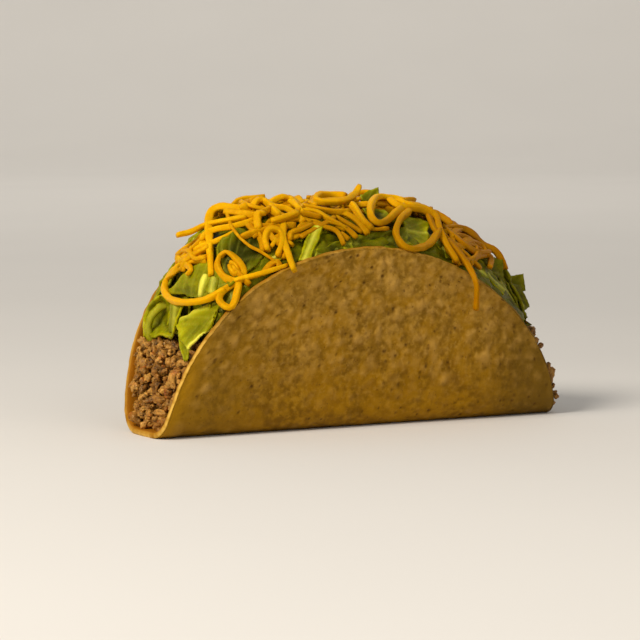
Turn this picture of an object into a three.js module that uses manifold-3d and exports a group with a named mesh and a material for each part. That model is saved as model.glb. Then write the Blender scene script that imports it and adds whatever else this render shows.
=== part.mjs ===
// A crisp corn tortilla folded round ground beef, shredded lettuce and grated cheese.
// Millimetres. +X runs along the fold, -Y is the front wall and +Z is up.
// The origin is the middle of the flat strip that the folded tortilla stands on.

import * as THREE from "three";
import { mergeVertices } from "three/addons/utils/BufferGeometryUtils.js";
import Module from "manifold-3d";

const wasm = await Module();
wasm.setup();

const radians = THREE.MathUtils.degToRad;
const { clamp, lerp } = THREE.MathUtils;

// ---------------------------------------------------------------------------
// Driving dimensions
// ---------------------------------------------------------------------------

const TORTILLA_R = 75;
const FOLD_OFFSET = 3.6; // the fold runs this far in front of the tortilla's centre
const EDGE_WAVES = [
  { count: 2, height: 1.45, turn: radians(-114) },
  { count: 3, height: 2.0, turn: radians(-14) },
];
const SHELL_THICKNESS = 1.9;
const BASE_HALF = 6.25; // half the width of the flat strip underneath
const FRONT = { side: -1, bend: 8, lean: radians(10.3) };
const BACK = { side: 1, bend: 10, lean: radians(18.3) };
const WALL_RIPPLE = 0.7; // how far the upper walls wander in and out
const RIPPLE_LENGTH = 58;

const GAP = 0.35; // clear space between one filling and the next
const BEEF_TOP = 31;
const BEEF_INSET = { left: 3, right: -1.5 }; // how far its end faces stand inside the rim
const CRUMB_SPACING = 4.9;
const CRUMB_RADIUS = { least: 2.1, most: 3.4 };
const LARGE_CRUMB = 3.25; // lumps of a larger radius get rounder facets

const HEAP_RISE = 44; // from the beef up to the crest of the cheese
const HEAP_LEFT = { end: 62, fall: 6 };
const HEAP_RIGHT = { end: 72, fall: 3 };
const CREST_Y = 7;
const CHEESE_COVER = 4; // depth of the cheese on the crest of the lettuce
const LETTUCE_LEFT = -60.8;
const LETTUCE_RIGHT = 64;
const RIM_DROP = 0.8; // the packed lettuce stops this far below the rim

const LEAF_THICKNESS = 1.1;
const LOOSE_LEAVES = { count: 14, left: -50, right: 58, shortest: 13, narrowest: 5.5 };
const MAT = { left: -47, right: 54, front: 0.66, back: 0.5, lumps: 2.8 };
const SHRED_WIDTH = 2.3;
const SHRED_STEP = 3.9; // spacing of the sections along a cheese shred
const LOOSE_SHREDS = { count: 11, left: -44, right: 52 };

const COLOURS = {
  shell: { color: 0xb98a3c, roughness: 0.75, metalness: 0 },
  beef: { color: 0x8a5a2b, roughness: 0.55, metalness: 0 },
  lettuce: { color: 0x93a63a, roughness: 0.45, metalness: 0 },
  cheese: { color: 0xf0a51c, roughness: 0.5, metalness: 0 },
};

// ---------------------------------------------------------------------------
// Small tools
// ---------------------------------------------------------------------------

// Repeatable numbers from 0 to 1.
function randomSource(seed) {
  let state = seed >>> 0;
  return () => {
    state = (Math.imul(state, 1664525) + 1013904223) >>> 0;
    return state / 4294967296;
  };
}

function between(random, low, high) {
  return lerp(low, high, random());
}

function solidFrom(geometry) {
  geometry.deleteAttribute("normal");
  geometry.deleteAttribute("uv");
  const merged = mergeVertices(geometry, 1e-4);
  return new wasm.Manifold(
    new wasm.Mesh({
      numProp: 3,
      vertProperties: merged.attributes.position.array,
      triVerts: new Uint32Array(merged.index.array),
    }),
  );
}

function geometryFrom(positions, indices) {
  const geometry = new THREE.BufferGeometry();
  geometry.setAttribute("position", new THREE.Float32BufferAttribute(positions, 3));
  geometry.setIndex(indices);
  return geometry;
}

// A closed thin body. pointAt(u, v, face) gives its two faces, which are split alike;
// face 1 lies on the side that u cross v points to.
function sheetSolid(columns, rows, pointAt) {
  const positions = [];
  const indices = [];
  const perFace = (columns + 1) * (rows + 1);
  const at = (i, j, face) => face * perFace + j * (columns + 1) + i;
  const quad = (a, b, c, d) => indices.push(a, b, c, a, c, d);
  const turned = (a, b, c, d) => indices.push(a, c, b, a, d, c);
  for (const face of [0, 1]) {
    for (let j = 0; j <= rows; j++) {
      for (let i = 0; i <= columns; i++) {
        positions.push(...pointAt(i / columns, j / rows, face));
      }
    }
  }
  for (let j = 0; j < rows; j++) {
    for (let i = 0; i < columns; i++) {
      turned(at(i, j, 0), at(i + 1, j, 0), at(i + 1, j + 1, 0), at(i, j + 1, 0));
      quad(at(i, j, 1), at(i + 1, j, 1), at(i + 1, j + 1, 1), at(i, j + 1, 1));
    }
  }
  for (let i = 0; i < columns; i++) {
    quad(at(i, 0, 0), at(i + 1, 0, 0), at(i + 1, 0, 1), at(i, 0, 1));
    turned(at(i, rows, 0), at(i + 1, rows, 0), at(i + 1, rows, 1), at(i, rows, 1));
  }
  for (let j = 0; j < rows; j++) {
    turned(at(0, j, 0), at(0, j + 1, 0), at(0, j + 1, 1), at(0, j, 1));
    quad(at(columns, j, 0), at(columns, j + 1, 0), at(columns, j + 1, 1), at(columns, j, 1));
  }
  return solidFrom(geometryFrom(positions, indices));
}

// A closed body through rings of equal length; each end is closed by a fan.
function ringSolid(rings) {
  const size = rings[0].length;
  const positions = rings.flat().flatMap((p) => [...p]);
  const indices = [];
  for (let k = 0; k + 1 < rings.length; k++) {
    for (let i = 0; i < size; i++) {
      const a = k * size + i;
      const b = k * size + ((i + 1) % size);
      indices.push(a, b, b + size, a, b + size, a + size);
    }
  }
  for (const [k, turned] of [
    [0, true],
    [rings.length - 1, false],
  ]) {
    const middle = new THREE.Vector3();
    rings[k].forEach((p) => middle.addScaledVector(p, 1 / size));
    const centre = positions.length / 3;
    positions.push(...middle);
    for (let i = 0; i < size; i++) {
      const a = k * size + i;
      const b = k * size + ((i + 1) % size);
      indices.push(centre, turned ? b : a, turned ? a : b);
    }
  }
  return solidFrom(geometryFrom(positions, indices));
}

function unionOf(solids) {
  return solids.reduce((whole, solid) => whole.add(solid));
}

function largestBody(solid) {
  const bodies = solid.decompose();
  return bodies.reduce((best, body) => (body.volume() > best.volume() ? body : best));
}

function crossesAny(solid, others) {
  return others.some((other) => solid.intersect(other).volume() > 1e-3);
}

// ---------------------------------------------------------------------------
// Tortilla shell
// ---------------------------------------------------------------------------

// Radius of the flat tortilla about the fold's middle; angle 0 is +X, 90 degrees the back.
function edgeRadius(angle) {
  const waves = EDGE_WAVES.map((w) => w.height * Math.cos(w.count * angle - w.turn));
  return TORTILLA_R + FOLD_OFFSET * Math.sin(angle) + waves.reduce((a, b) => a + b);
}

// Where the rim stands at a signed arc length from the fold: end is -1 (left) or +1 (right).
function edgeX(arc, end) {
  let rise = Math.asin(clamp(arc / TORTILLA_R, -1, 1));
  let angle = rise;
  for (let pass = 0; pass < 8; pass++) {
    angle = end > 0 ? rise : Math.PI - rise;
    rise = Math.asin(clamp(arc / edgeRadius(angle), -1, 1));
  }
  return edgeRadius(angle) * Math.cos(angle);
}

// How far up a wall the rim stands at a place along the fold, as an arc length.
function edgeArc(x, wall) {
  const least = 0.5; // nearer the middle than this the rim is level
  let low = 0;
  let high = TORTILLA_R + 10;
  for (let pass = 0; pass < 20; pass++) {
    const middle = (low + high) / 2;
    const reach = Math.abs(edgeX(wall.side * middle, x < 0 ? -1 : 1));
    const inside = Math.max(Math.abs(x), least) < reach;
    if (inside) low = middle;
    else high = middle;
  }
  return low;
}

function bendArc(wall) {
  return wall.bend * (Math.PI / 2 - wall.lean);
}

function ripple(x, arc, wall) {
  const height = clamp((arc - BASE_HALF - bendArc(wall)) / TORTILLA_R, 0, 1);
  return WALL_RIPPLE * height * Math.sin((2 * Math.PI * x) / RIPPLE_LENGTH + wall.side);
}

// A point of the folded tortilla: arc is measured across the fold and depth inwards.
function wallPoint(x, arc, wall, depth) {
  const bent = bendArc(wall);
  const turn = clamp((arc - BASE_HALF) / wall.bend, 0, bent / wall.bend);
  const rest = Math.max(arc - BASE_HALF - bent, 0);
  const radius = wall.bend - depth;
  const out =
    Math.min(arc, BASE_HALF) + radius * Math.sin(turn) + rest * Math.sin(wall.lean);
  const up = depth + radius * (1 - Math.cos(turn)) + rest * Math.cos(wall.lean);
  return new THREE.Vector3(x, wall.side * (out + ripple(x, arc, wall)), up);
}

// The arc length at which a wall reaches a height, at a depth inside its outer face.
function arcAtHeight(z, wall, depth) {
  const radius = wall.bend - depth;
  const bendTop = radius * (1 - Math.sin(wall.lean));
  const rise = z - depth;
  if (rise < bendTop) {
    return BASE_HALF + wall.bend * Math.acos(clamp(1 - rise / radius, -1, 1));
  }
  return BASE_HALF + bendArc(wall) + (rise - bendTop) / Math.cos(wall.lean);
}

// Angles of the grid's rows across the fold: fine round the bends, even up the walls.
function rowAngles() {
  const bendRows = 4;
  const wallRows = 7;
  const steepest = radians(86);
  const half = (wall) => {
    const arcs = [];
    for (let k = 0; k <= bendRows; k++) arcs.push(BASE_HALF + (bendArc(wall) * k) / bendRows);
    const angles = arcs.map((arc) => Math.asin(arc / TORTILLA_R));
    const start = angles[angles.length - 1];
    for (let k = 1; k <= wallRows; k++) angles.push(lerp(start, steepest, k / wallRows));
    return angles.map((angle) => wall.side * angle);
  };
  return [...half(FRONT).reverse(), ...half(BACK)];
}

// The tortilla, or with grow above 0 the space that other pieces keep out of.
function tortilla(grow = 0) {
  const columns = 21;
  const angles = rowAngles();
  const pointAt = (u, v, face) => {
    const angle = angles[Math.round(v * (angles.length - 1))];
    const rim = (turn) => {
      const radius = edgeRadius(turn) + grow;
      return new THREE.Vector2(radius * Math.cos(turn), radius * Math.sin(turn));
    };
    const flat = rim(Math.PI - angle).lerp(rim(angle), u);
    const wall = flat.y < 0 ? FRONT : BACK;
    const depth = face === 0 ? -grow : SHELL_THICKNESS + grow;
    return wallPoint(flat.x, Math.abs(flat.y), wall, depth);
  };
  return sheetSolid(columns, angles.length - 1, pointAt);
}

// ---------------------------------------------------------------------------
// Ground beef: a core that fills the trough, with crumbs on the faces that show
// ---------------------------------------------------------------------------

const FILL_DEPTH = SHELL_THICKNESS + GAP;

// A point on the inner side of a wall at a height, moved inwards by inset.
function innerPoint(x, z, wall, inset = 0) {
  const arc = arcAtHeight(z, wall, FILL_DEPTH + inset);
  return wallPoint(x, arc, wall, FILL_DEPTH + inset);
}

function beefEndX(z, across, end) {
  const ends = [FRONT, BACK].map((wall) =>
    edgeX(wall.side * arcAtHeight(z, wall, FILL_DEPTH), end),
  );
  const inset = end < 0 ? BEEF_INSET.left : BEEF_INSET.right;
  return lerp(ends[0], ends[1], across) - end * inset;
}

function beefRing(z, random) {
  const along = 14;
  const over = 6;
  const ring = [];
  const side = (wall, across, from, to) => {
    for (let i = 0; i < along; i++) {
      const x = lerp(beefEndX(z, across, from), beefEndX(z, across, to), i / along);
      ring.push(innerPoint(x, z, wall));
    }
  };
  const end = (side, from, to) => {
    for (let i = 0; i < over; i++) {
      const across = lerp(from, to, i / over);
      const x = beefEndX(z, across, side);
      const front = innerPoint(x, z, FRONT).y;
      const back = innerPoint(x, z, BACK).y;
      const rough = i === 0 ? 0 : between(random, -0.5, 0.5);
      ring.push(new THREE.Vector3(x + rough, lerp(front, back, across), z));
    }
  };
  side(FRONT, 0, -1, 1);
  end(1, 0, 1);
  side(BACK, 1, 1, -1);
  end(-1, 1, 0);
  return ring;
}

function beefCore() {
  const random = randomSource(11);
  const heights = [FILL_DEPTH, 3.2, 5, 8, 12, 17, 22, 27, BEEF_TOP];
  return ringSolid(heights.map((z) => beefRing(z, random)));
}

// A lump of cooked mince: an uneven ball, longer one way than the other.
function crumb(centre, radius, random) {
  const geometry = new THREE.IcosahedronGeometry(radius, radius > LARGE_CRUMB ? 1 : 0);
  geometry.deleteAttribute("normal");
  geometry.deleteAttribute("uv");
  const merged = mergeVertices(geometry, 1e-4);
  const points = merged.attributes.position;
  const [wide, long, high] = [1.1, 1.3, 1.1].map((most) => between(random, 0.8, most));
  const stretch = new THREE.Vector3(wide, long, high);
  const turn = new THREE.Euler(...[0, 1, 2].map(() => between(random, 0, Math.PI)));
  for (let i = 0; i < points.count; i++) {
    const p = new THREE.Vector3().fromBufferAttribute(points, i);
    p.multiplyScalar(between(random, 0.82, 1.18));
    p.multiply(stretch).applyEuler(turn).add(centre);
    points.setXYZ(i, p.x, p.y, p.z);
  }
  return solidFrom(merged);
}

// Crumbs over both end faces, each one clear of its neighbours.
function beefCrumbs(neighbours) {
  const random = randomSource(23);
  const lowest = 5;
  const crumbs = [];
  for (const end of [-1, 1]) {
    for (let z = lowest; z < BEEF_TOP; z += CRUMB_SPACING) {
      const front = innerPoint(0, z, FRONT).y;
      const back = innerPoint(0, z, BACK).y;
      const count = Math.max(1, Math.round((back - front) / CRUMB_SPACING) - 1);
      for (let k = 0; k < count; k++) {
        const across = (k + between(random, 0.25, 0.75)) / count;
        const radius = between(random, CRUMB_RADIUS.least, CRUMB_RADIUS.most);
        const y = clamp(lerp(front, back, across), front + radius, back - radius);
        const x = beefEndX(z, across, end) + end * between(random, 0.2, 1.6);
        const height = Math.min(z + between(random, -0.5, 0.5), BEEF_TOP - 1.2 * radius);
        const lump = crumb(new THREE.Vector3(x, y, height), radius, random);
        if (!crossesAny(lump, neighbours)) crumbs.push(lump);
      }
    }
  }
  return crumbs;
}

// ---------------------------------------------------------------------------
// The heap: lettuce on the beef, cheese on the lettuce
// ---------------------------------------------------------------------------

function crestFall(x) {
  const half = x < 0 ? HEAP_LEFT : HEAP_RIGHT;
  return 1 - Math.pow(Math.min(Math.abs(x) / half.end, 1), half.fall);
}

function rimPoint(x, wall) {
  return wallPoint(x, edgeArc(x, wall), wall, FILL_DEPTH);
}

// Height of the heap's surface, which arches from rim to rim; cover lowers its crest.
function heapHeight(x, y, cover) {
  const crest = BEEF_TOP + GAP + (HEAP_RISE - cover) * crestFall(x);
  const rim = rimPoint(x, y < CREST_Y ? FRONT : BACK);
  const across = clamp((y - CREST_Y) / (rim.y - CREST_Y), 0, 1.15);
  return crest - (crest - rim.z) * across * across;
}

// The packed lettuce under the open leaves; grow lifts its crown.
function lettuceCore(grow = 0) {
  const floor = BEEF_TOP + GAP;
  const stations = 16;
  const crown = 8;
  const ring = (x) => {
    const front = rimPoint(x, FRONT);
    const back = rimPoint(x, BACK);
    const frontTop = Math.max(front.z - RIM_DROP, floor + 0.4);
    const backTop = Math.max(back.z - RIM_DROP, floor + 0.4);
    const points = [];
    for (let i = 0; i < 4; i++) {
      const y = lerp(innerPoint(x, floor, FRONT).y, innerPoint(x, floor, BACK).y, i / 3);
      points.push(new THREE.Vector3(x, y, floor));
    }
    points.push(innerPoint(x, lerp(floor, backTop, 0.5), BACK));
    for (let i = 0; i <= crown; i++) {
      const y = lerp(innerPoint(x, backTop, BACK).y, innerPoint(x, frontTop, FRONT).y, i / crown);
      const z = Math.max(heapHeight(x, y, CHEESE_COVER), lerp(backTop, frontTop, i / crown));
      points.push(new THREE.Vector3(x, y, z + grow));
    }
    points.push(innerPoint(x, lerp(floor, frontTop, 0.5), FRONT));
    return points;
  };
  const rings = [];
  for (let k = 0; k <= stations; k++) {
    const swing = Math.sin((Math.PI / 2) * lerp(-1, 1, k / stations));
    rings.push(ring(swing < 0 ? -swing * LETTUCE_LEFT : swing * LETTUCE_RIGHT));
  }
  return ringSolid(rings);
}

// A leaf through four corners, bulged and rippled; both faces follow the same waves.
function leaf(corners, { bulge = 1.2, waves = 1.5, height = 0.7, grow = 0 }) {
  const [a, b, c, d] = corners.map((p) => new THREE.Vector3(...p));
  const normal = b.clone().sub(d).cross(c.clone().sub(a)).normalize();
  const columns = 4;
  const rows = 2;
  const margin = grow / a.distanceTo(d);
  return sheetSolid(columns, rows, (u, v, face) => {
    const p = a.clone().lerp(b, u).lerp(d.clone().lerp(c, u), lerp(-margin, 1 + margin, v));
    const swell = bulge * Math.sin(Math.PI * u) * Math.sin(Math.PI * v);
    const wave = height * Math.sin(2 * Math.PI * waves * u + 2 * v);
    const out = swell + wave + (LEAF_THICKNESS / 2 + grow) * (face === 0 ? -1 : 1);
    return p.addScaledVector(normal, out);
  });
}

// The leaves that lie open at the ends and along the front rim, by their corners.
const LEAVES = {
  leftCurl: [[-58, 15, 43], [-58, -1.5, 43], [-62.5, -7.5, 30.5], [-64.5, 17, 29]],
  leftFold: [[-50.5, -15, 45.5], [-60.5, 1.5, 36.5], [-64, -11, 27.5], [-58.5, -17, 34.5]],
  leftTip: [[-61, 0, 34], [-60, -12, 34], [-63.5, -14.5, 28.5], [-65.5, -15.5, 25]],
  leftBack: [[-58, 8, 51], [-50, -4, 56], [-49, -15, 46], [-57.5, 5, 44.5]],
  frontRib: [[-18, -12, 67], [-15.5, -14, 66], [-23, -21, 58], [-26, -19.5, 58.5]],
  frontBand: [[-19.5, -15, 63.5], [30, -12, 62], [27, -18, 59.5], [-21.5, -19.5, 60.5]],
  ringLeaf: [[19, -7, 69.5], [28, -8, 66.5], [22.5, -17.5, 60], [12.5, -20, 60.5]],
  crestLeaf: [[10.5, 8, 73.5], [17, 8, 76.5], [17, 3.5, 70], [10, 3.5, 69]],
  rightBand: [[46, -4, 55], [60, -2, 52.5], [59.5, -6, 43.5], [42.5, -16.5, 48]],
  rightSquare: [[60, 2, 46], [72, 2, 47.5], [71, 0, 41.5], [58, 0, 40]],
  rightSpike: [[54.5, -8, 45], [68.5, 0, 44], [70.5, -2, 36], [64, -8, 34]],
};

// Shreds scattered over both slopes of the lettuce, half sunk in its core.
function scatteredLeaves() {
  const { count, left, right, shortest, narrowest } = LOOSE_LEAVES;
  const random = randomSource(37);
  const clear = 1.2; // how far a shred keeps inside the rim
  return Array.from({ length: count }, (_, k) => {
    const x = lerp(left, right, (k + random()) / count);
    const wall = random() < 0.75 ? BACK : FRONT;
    const across = between(random, 0.74, 0.86);
    const heading = between(random, -0.45, 0.45);
    const length = between(random, shortest, shortest + 10);
    const width = between(random, narrowest, narrowest + 3);
    const tilt = between(random, 0, 1.6);
    const corners = [[-1, -1], [1, -1], [1, 1], [-1, 1]].map(([u, v]) => {
      const along = (u * length) / 2;
      const over = (v * width) / 2;
      const px = x + along * Math.cos(heading) - over * Math.sin(heading);
      const rim = rimPoint(px, wall);
      const middle = lerp(CREST_Y, rim.y, across);
      const py = middle + along * Math.sin(heading) + over * Math.cos(heading);
      const inside = wall.side * (rim.y - py) > clear ? py : rim.y - wall.side * clear;
      const lift = 0.2 + (v > 0 ? tilt : 0);
      return [px, inside, heapHeight(px, inside, CHEESE_COVER) + lift];
    });
    return { corners, height: between(random, 0.5, 1), waves: between(random, 1, 2) };
  });
}

function leaves(shapes, grow = 0) {
  return shapes.map(({ corners, ...waves }) => leaf(corners, { ...waves, grow }));
}

// ---------------------------------------------------------------------------
// Grated cheese: a mat over the crest, with the shreds that show fused to it
// ---------------------------------------------------------------------------

// The packed shreds between those that can be told apart: a lumpy sheet over the crest.
function cheeseMat() {
  const columns = 14;
  const rows = 4;
  const sunk = 0.6; // how far the hollows between lumps lie below the heap's surface
  const random = randomSource(41);
  const lumps = Array.from({ length: (columns + 1) * (rows + 1) }, () => random());
  return sheetSolid(columns, rows, (u, v, face) => {
    const x = lerp(MAT.left, MAT.right, u);
    const taper = 0.14 * Math.pow(Math.abs(2 * u - 1), 3);
    const reach = (wall, share, sway) => lerp(CREST_Y, rimPoint(x, wall).y, share - taper + sway);
    const front = reach(FRONT, MAT.front, 0.05 * Math.sin(x / 5));
    const back = reach(BACK, MAT.back, 0.07 * Math.sin(x / 6 + 1));
    const y = lerp(front, back, v);
    if (face === 0) return new THREE.Vector3(x, y, heapHeight(x, y, CHEESE_COVER));
    const lump = lumps[Math.round(v * rows) * (columns + 1) + Math.round(u * columns)];
    const cover = v === 0 || v === 1 ? 0.4 * CHEESE_COVER : 0;
    return new THREE.Vector3(x, y, heapHeight(x, y, cover) - sunk + MAT.lumps * lump);
  });
}

// One shred: a bar that follows a smooth route through its points.
function shred(points, grow = 0) {
  const route = new THREE.CatmullRomCurve3(points.map((p) => new THREE.Vector3(...p)));
  const section = new THREE.Shape();
  const sides = 5;
  for (let i = 0; i < sides; i++) {
    const turn = (2 * Math.PI * i) / sides;
    const x = (SHRED_WIDTH / 2 + grow) * Math.cos(turn);
    const y = (SHRED_WIDTH / 2 + grow) * Math.sin(turn);
    if (i === 0) section.moveTo(x, y);
    else section.lineTo(x, y);
  }
  const steps = Math.max(3, Math.round(route.getLength() / SHRED_STEP));
  return solidFrom(new THREE.ExtrudeGeometry(section, { steps, extrudePath: route }));
}

// The shreds that can be followed one by one, each by the few points its bends need.
const SHREDS = {
  leftPoint: [
    [-58.5, 4, 64.5], [-53.5, 4, 65.5], [-48, 4, 67.5], [-43.5, -2, 69],
    [-37.5, -4.5, 70],
  ],
  leftArch: [
    [-34.5, -1.5, 72], [-39.5, 2, 73], [-42.5, 6.5, 73], [-46, 6, 70],
    [-50, -3, 61.5], [-52.5, -9.5, 52],
  ],
  slantLine: [
    [-41.5, 3, 72.5], [-43, -6.5, 66.5], [-41, -12.5, 62], [-37.5, -16, 59.5],
    [-34, -19.5, 56.5],
  ],
  ovalLoop: [
    [-49, -8.5, 58.5], [-50.5, -10, 55], [-49.5, -14, 51.5], [-46.5, -17, 50.5],
    [-44, -16.5, 53.5], [-45, -13.5, 57], [-47, -10, 59.5], [-49.5, -9, 57.5],
  ],
  dropLoop: [
    [-46, -17, 50.5], [-51, -15.5, 47.5], [-53, -17, 44.5], [-51, -20, 42.5],
    [-49, -20, 44.5], [-46.5, -18, 50],
  ],
  rimStick: [[-47.5, -16.5, 50.5], [-39.5, -20, 53], [-31, -21.5, 55.5]],
  leftSweep: [
    [-53.5, 3, 57.5], [-56.5, 9, 53], [-57.5, 18, 49], [-60, 15, 45.5],
    [-60.5, 4, 43.5], [-59.5, -7, 43.5], [-55.5, -13.5, 45], [-50.5, -16, 48],
  ],
  rimHanger: [
    [-26, -7, 69], [-27.5, -11.5, 67.5], [-29.5, -15.5, 63.5], [-30, -20.5, 58.5],
    [-30.5, -25.5, 54],
  ],
  topStick: [[-32, -8, 69.5], [-21.5, -10, 71]],
  crestRing: [
    [3.5, -10, 71], [8.5, -4.5, 74], [15, -1.5, 75.5], [19, -2, 75],
    [14, -10.5, 71], [7, -15.5, 67.5], [1.5, -14.5, 66.5],
  ],
  rightRun: [
    [20, 4, 75], [21.5, -5, 73], [28, -5, 71.5], [31.5, -7, 69], [30, -12.5, 65],
    [30, -17.5, 60], [31.5, -22, 54.5],
  ],
  rightRing: [
    [21, -8, 71], [14.5, -13.5, 68.5], [10, -19, 64.5], [10.5, -23, 60.5],
    [15, -23, 59.5], [22, -19.5, 60.5], [29.5, -13.5, 64.5],
  ],
  rightCurl: [
    [33.5, -8, 64.5], [43, -4, 64.5], [48.5, -3, 62], [53, -2, 58.5],
    [58.5, -2, 55.5], [62, -2, 49.5],
  ],
  wallHanger: [
    [31, -15.5, 61.5], [33.5, -18.5, 58], [35.5, -23, 52.5], [36, -27, 47],
    [36.5, -26, 38.5],
  ],
  leftTuft: [
    [-55, 8.5, 55.5], [-53, 5, 58.5], [-51, 0, 61], [-47.5, -4.5, 63],
    [-41.5, -6, 66],
  ],
  topStub: [[-34.5, 6, 74.5], [-34.5, -1.5, 73.5], [-30, -4, 72]],
  crestLoop: [[-11, -2, 75], [-1, 7, 76.5], [0.5, -1, 76], [7.5, 4, 79]],
  rightTuft: [[34, -9, 65], [38, -13.5, 60.5], [44.5, -12.5, 56.5], [52.5, -6.5, 56]],
};

// Shreds laid at random over the mat and down the back of the lettuce.
function scatteredShreds() {
  const { count, left, right } = LOOSE_SHREDS;
  const random = randomSource(53);
  const step = 4;
  const margin = 5;
  const routes = [];
  for (let k = 0; k < count; k++) {
    const wall = random() < 0.6 ? BACK : FRONT;
    const across = between(random, 0, 0.5);
    let x = lerp(left, right, (k + random()) / count);
    let y = lerp(CREST_Y, rimPoint(x, wall).y, across);
    let heading = between(random, 0, 2 * Math.PI);
    const curl = between(random, -0.25, 0.25);
    const steps = Math.floor(between(random, 5, 10));
    const points = [];
    for (let i = 0; i < steps; i++) {
      points.push([x, y, heapHeight(x, y, 0) + between(random, 0.7, 1.5)]);
      x += step * Math.cos(heading);
      y += step * Math.sin(heading);
      heading += curl;
      const inFront = y < rimPoint(x, FRONT).y + margin;
      const behind = y > rimPoint(x, BACK).y - margin;
      if (inFront || behind || x < left - margin || x > right + margin) break;
    }
    if (points.length > 3) routes.push(points);
  }
  return routes;
}

// Away from the middle of the heap.
function outward([x, y, z], distance) {
  const way = new THREE.Vector3(0.3 * x, y - CREST_Y, z - BEEF_TOP).setLength(distance);
  return [x + way.x, y + way.y, z + way.z];
}

// Every shred, moved outwards until it lies clear of its neighbours, or left out.
function cheeseShreds(neighbours) {
  const highest = 3.5;
  const routes = [...Object.values(SHREDS), ...scatteredShreds()];
  const laid = routes.map((route) => {
    for (let lift = 0; lift <= highest; lift += 0.5) {
      const raised = route.map((p) => outward(p, lift));
      const space = shred(raised, GAP);
      if (!crossesAny(space, neighbours)) return shred(raised);
    }
    return null;
  });
  return laid.filter((strand) => strand);
}

// ---------------------------------------------------------------------------
// Assembly
// ---------------------------------------------------------------------------

function meshOf(name, solid, look) {
  const { vertProperties, triVerts } = solid.getMesh();
  const mesh = new THREE.Mesh(
    geometryFrom(Array.from(vertProperties), Array.from(triVerts)),
    new THREE.MeshStandardMaterial(look),
  );
  mesh.geometry.computeVertexNormals();
  mesh.name = name;
  return mesh;
}

const shellSpace = tortilla(GAP);
const openLeaves = Object.values(LEAVES).map((corners) => ({ corners }));
const leafSpace = leaves(openLeaves, GAP);
const beef = largestBody(unionOf([beefCore(), ...beefCrumbs([shellSpace, ...leafSpace])]));
const mat = cheeseMat().subtract(unionOf([lettuceCore(GAP), ...leafSpace]));
const looseLeaves = scatteredLeaves().filter((shape) => {
  return !crossesAny(leaves([shape], GAP)[0], [shellSpace, beef, mat]);
});
const lettuce = largestBody(unionOf([lettuceCore(), ...leaves([...openLeaves, ...looseLeaves])]));
const cheese = largestBody(unionOf([mat, ...cheeseShreds([shellSpace, lettuce])]));

const group = new THREE.Group();
group.add(meshOf("tortilla_shell", tortilla(), COLOURS.shell));
group.add(meshOf("ground_beef", beef, COLOURS.beef));
group.add(meshOf("lettuce_shreds", lettuce, COLOURS.lettuce));
group.add(meshOf("cheese_shreds", cheese, COLOURS.cheese));

export default group;
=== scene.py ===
# Dresses the folded taco: tortilla, ground beef, lettuce and grated cheese.
# Lengths are millimetres until add_piece builds a mesh. +X runs along the fold, -Y is
# the front wall and +Z is up, as in the frame.

import math
from collections import namedtuple

import bmesh
import bpy
import numpy as np
from mathutils import Matrix, Vector


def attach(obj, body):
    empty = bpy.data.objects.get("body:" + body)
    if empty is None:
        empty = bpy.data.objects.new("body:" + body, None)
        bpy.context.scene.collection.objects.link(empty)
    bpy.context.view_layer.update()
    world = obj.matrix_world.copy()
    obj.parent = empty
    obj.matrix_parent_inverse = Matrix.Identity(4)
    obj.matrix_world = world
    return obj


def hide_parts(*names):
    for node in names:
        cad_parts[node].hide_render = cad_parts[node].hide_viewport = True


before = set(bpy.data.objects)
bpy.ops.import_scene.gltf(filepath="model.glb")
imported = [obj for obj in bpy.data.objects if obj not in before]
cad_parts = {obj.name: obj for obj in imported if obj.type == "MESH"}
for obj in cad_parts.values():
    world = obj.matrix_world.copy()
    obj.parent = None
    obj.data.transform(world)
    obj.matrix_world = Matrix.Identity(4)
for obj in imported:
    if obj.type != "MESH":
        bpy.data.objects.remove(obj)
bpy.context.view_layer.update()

MM = 0.001
SHELL_SEED, BEEF_SEED, LETTUCE_SEED, CHEESE_SEED = 5, 19, 29, 71

# ---- Sizes of the solids, which the fine surfaces follow ----

TORTILLA_R = 75.0
FOLD_OFFSET = 3.6  # how far the tortilla's middle lies behind the fold
Wave = namedtuple("Wave", "count height turn")
EDGE_WAVES = [Wave(2, 1.45, math.radians(-114)), Wave(3, 2.0, math.radians(-14))]
SHELL_THICKNESS = 1.9
BASE_HALF = 6.25
FRONT, BACK = -1, 1  # the two walls
LEFT, RIGHT = -1, 1  # the two ends
FRONT_BEND, BACK_BEND = 8.0, 10.0
FRONT_LEAN, BACK_LEAN = math.radians(10.3), math.radians(18.3)
WALL_RIPPLE = 0.7
RIPPLE_LENGTH = 58.0
EDGE_PASSES = 8  # rounds that find where the rim stands along the fold
EDGE_HALVINGS, EDGE_SPARE = 20, 10  # and how far up a wall, from the fold to past the rim
LEVEL_RIM = 0.5  # nearer the middle than this the rim is taken as level

GAP = 0.35
FILL_DEPTH = SHELL_THICKNESS + GAP
BEEF_TOP = 31.0
BEEF_INSET = {LEFT: 3.0, RIGHT: -1.5}  # how far its end faces stand inside the rim

HEAP_RISE = 44.0
HEAP_LEFT_END, HEAP_LEFT_FALL = 62.0, 6
HEAP_RIGHT_END, HEAP_RIGHT_FALL = 72.0, 3
CREST_Y = 7.0
CHEESE_COVER = 4.0  # depth of the cheese on the crest of the lettuce
LETTUCE_RIGHT = 64.0
RIM_DROP = 0.8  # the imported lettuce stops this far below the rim
SHRED_WIDTH = 2.3


# ---- Numbers, noise and meshes ----

# Large odd numbers that scatter the bits of a lattice corner's place.
HASH_X, HASH_Y, HASH_Z, HASH_SEED = 73856093, 19349663, 83492791, 40503
HASH_FIRST, HASH_SECOND = 1274126177, 668265263
MASK = 0xFFFFFFFF
OCTAVE_TURN = np.array(Matrix.Rotation(0.9, 3, Vector((1, 2, 3)).normalized()))
OCTAVE_FINER = 2.03
OCTAVE_WEAKER = 0.5
OCTAVE_SEEDS = 7


def lerp(a, b, t):
    return a + (b - a) * t


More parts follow.
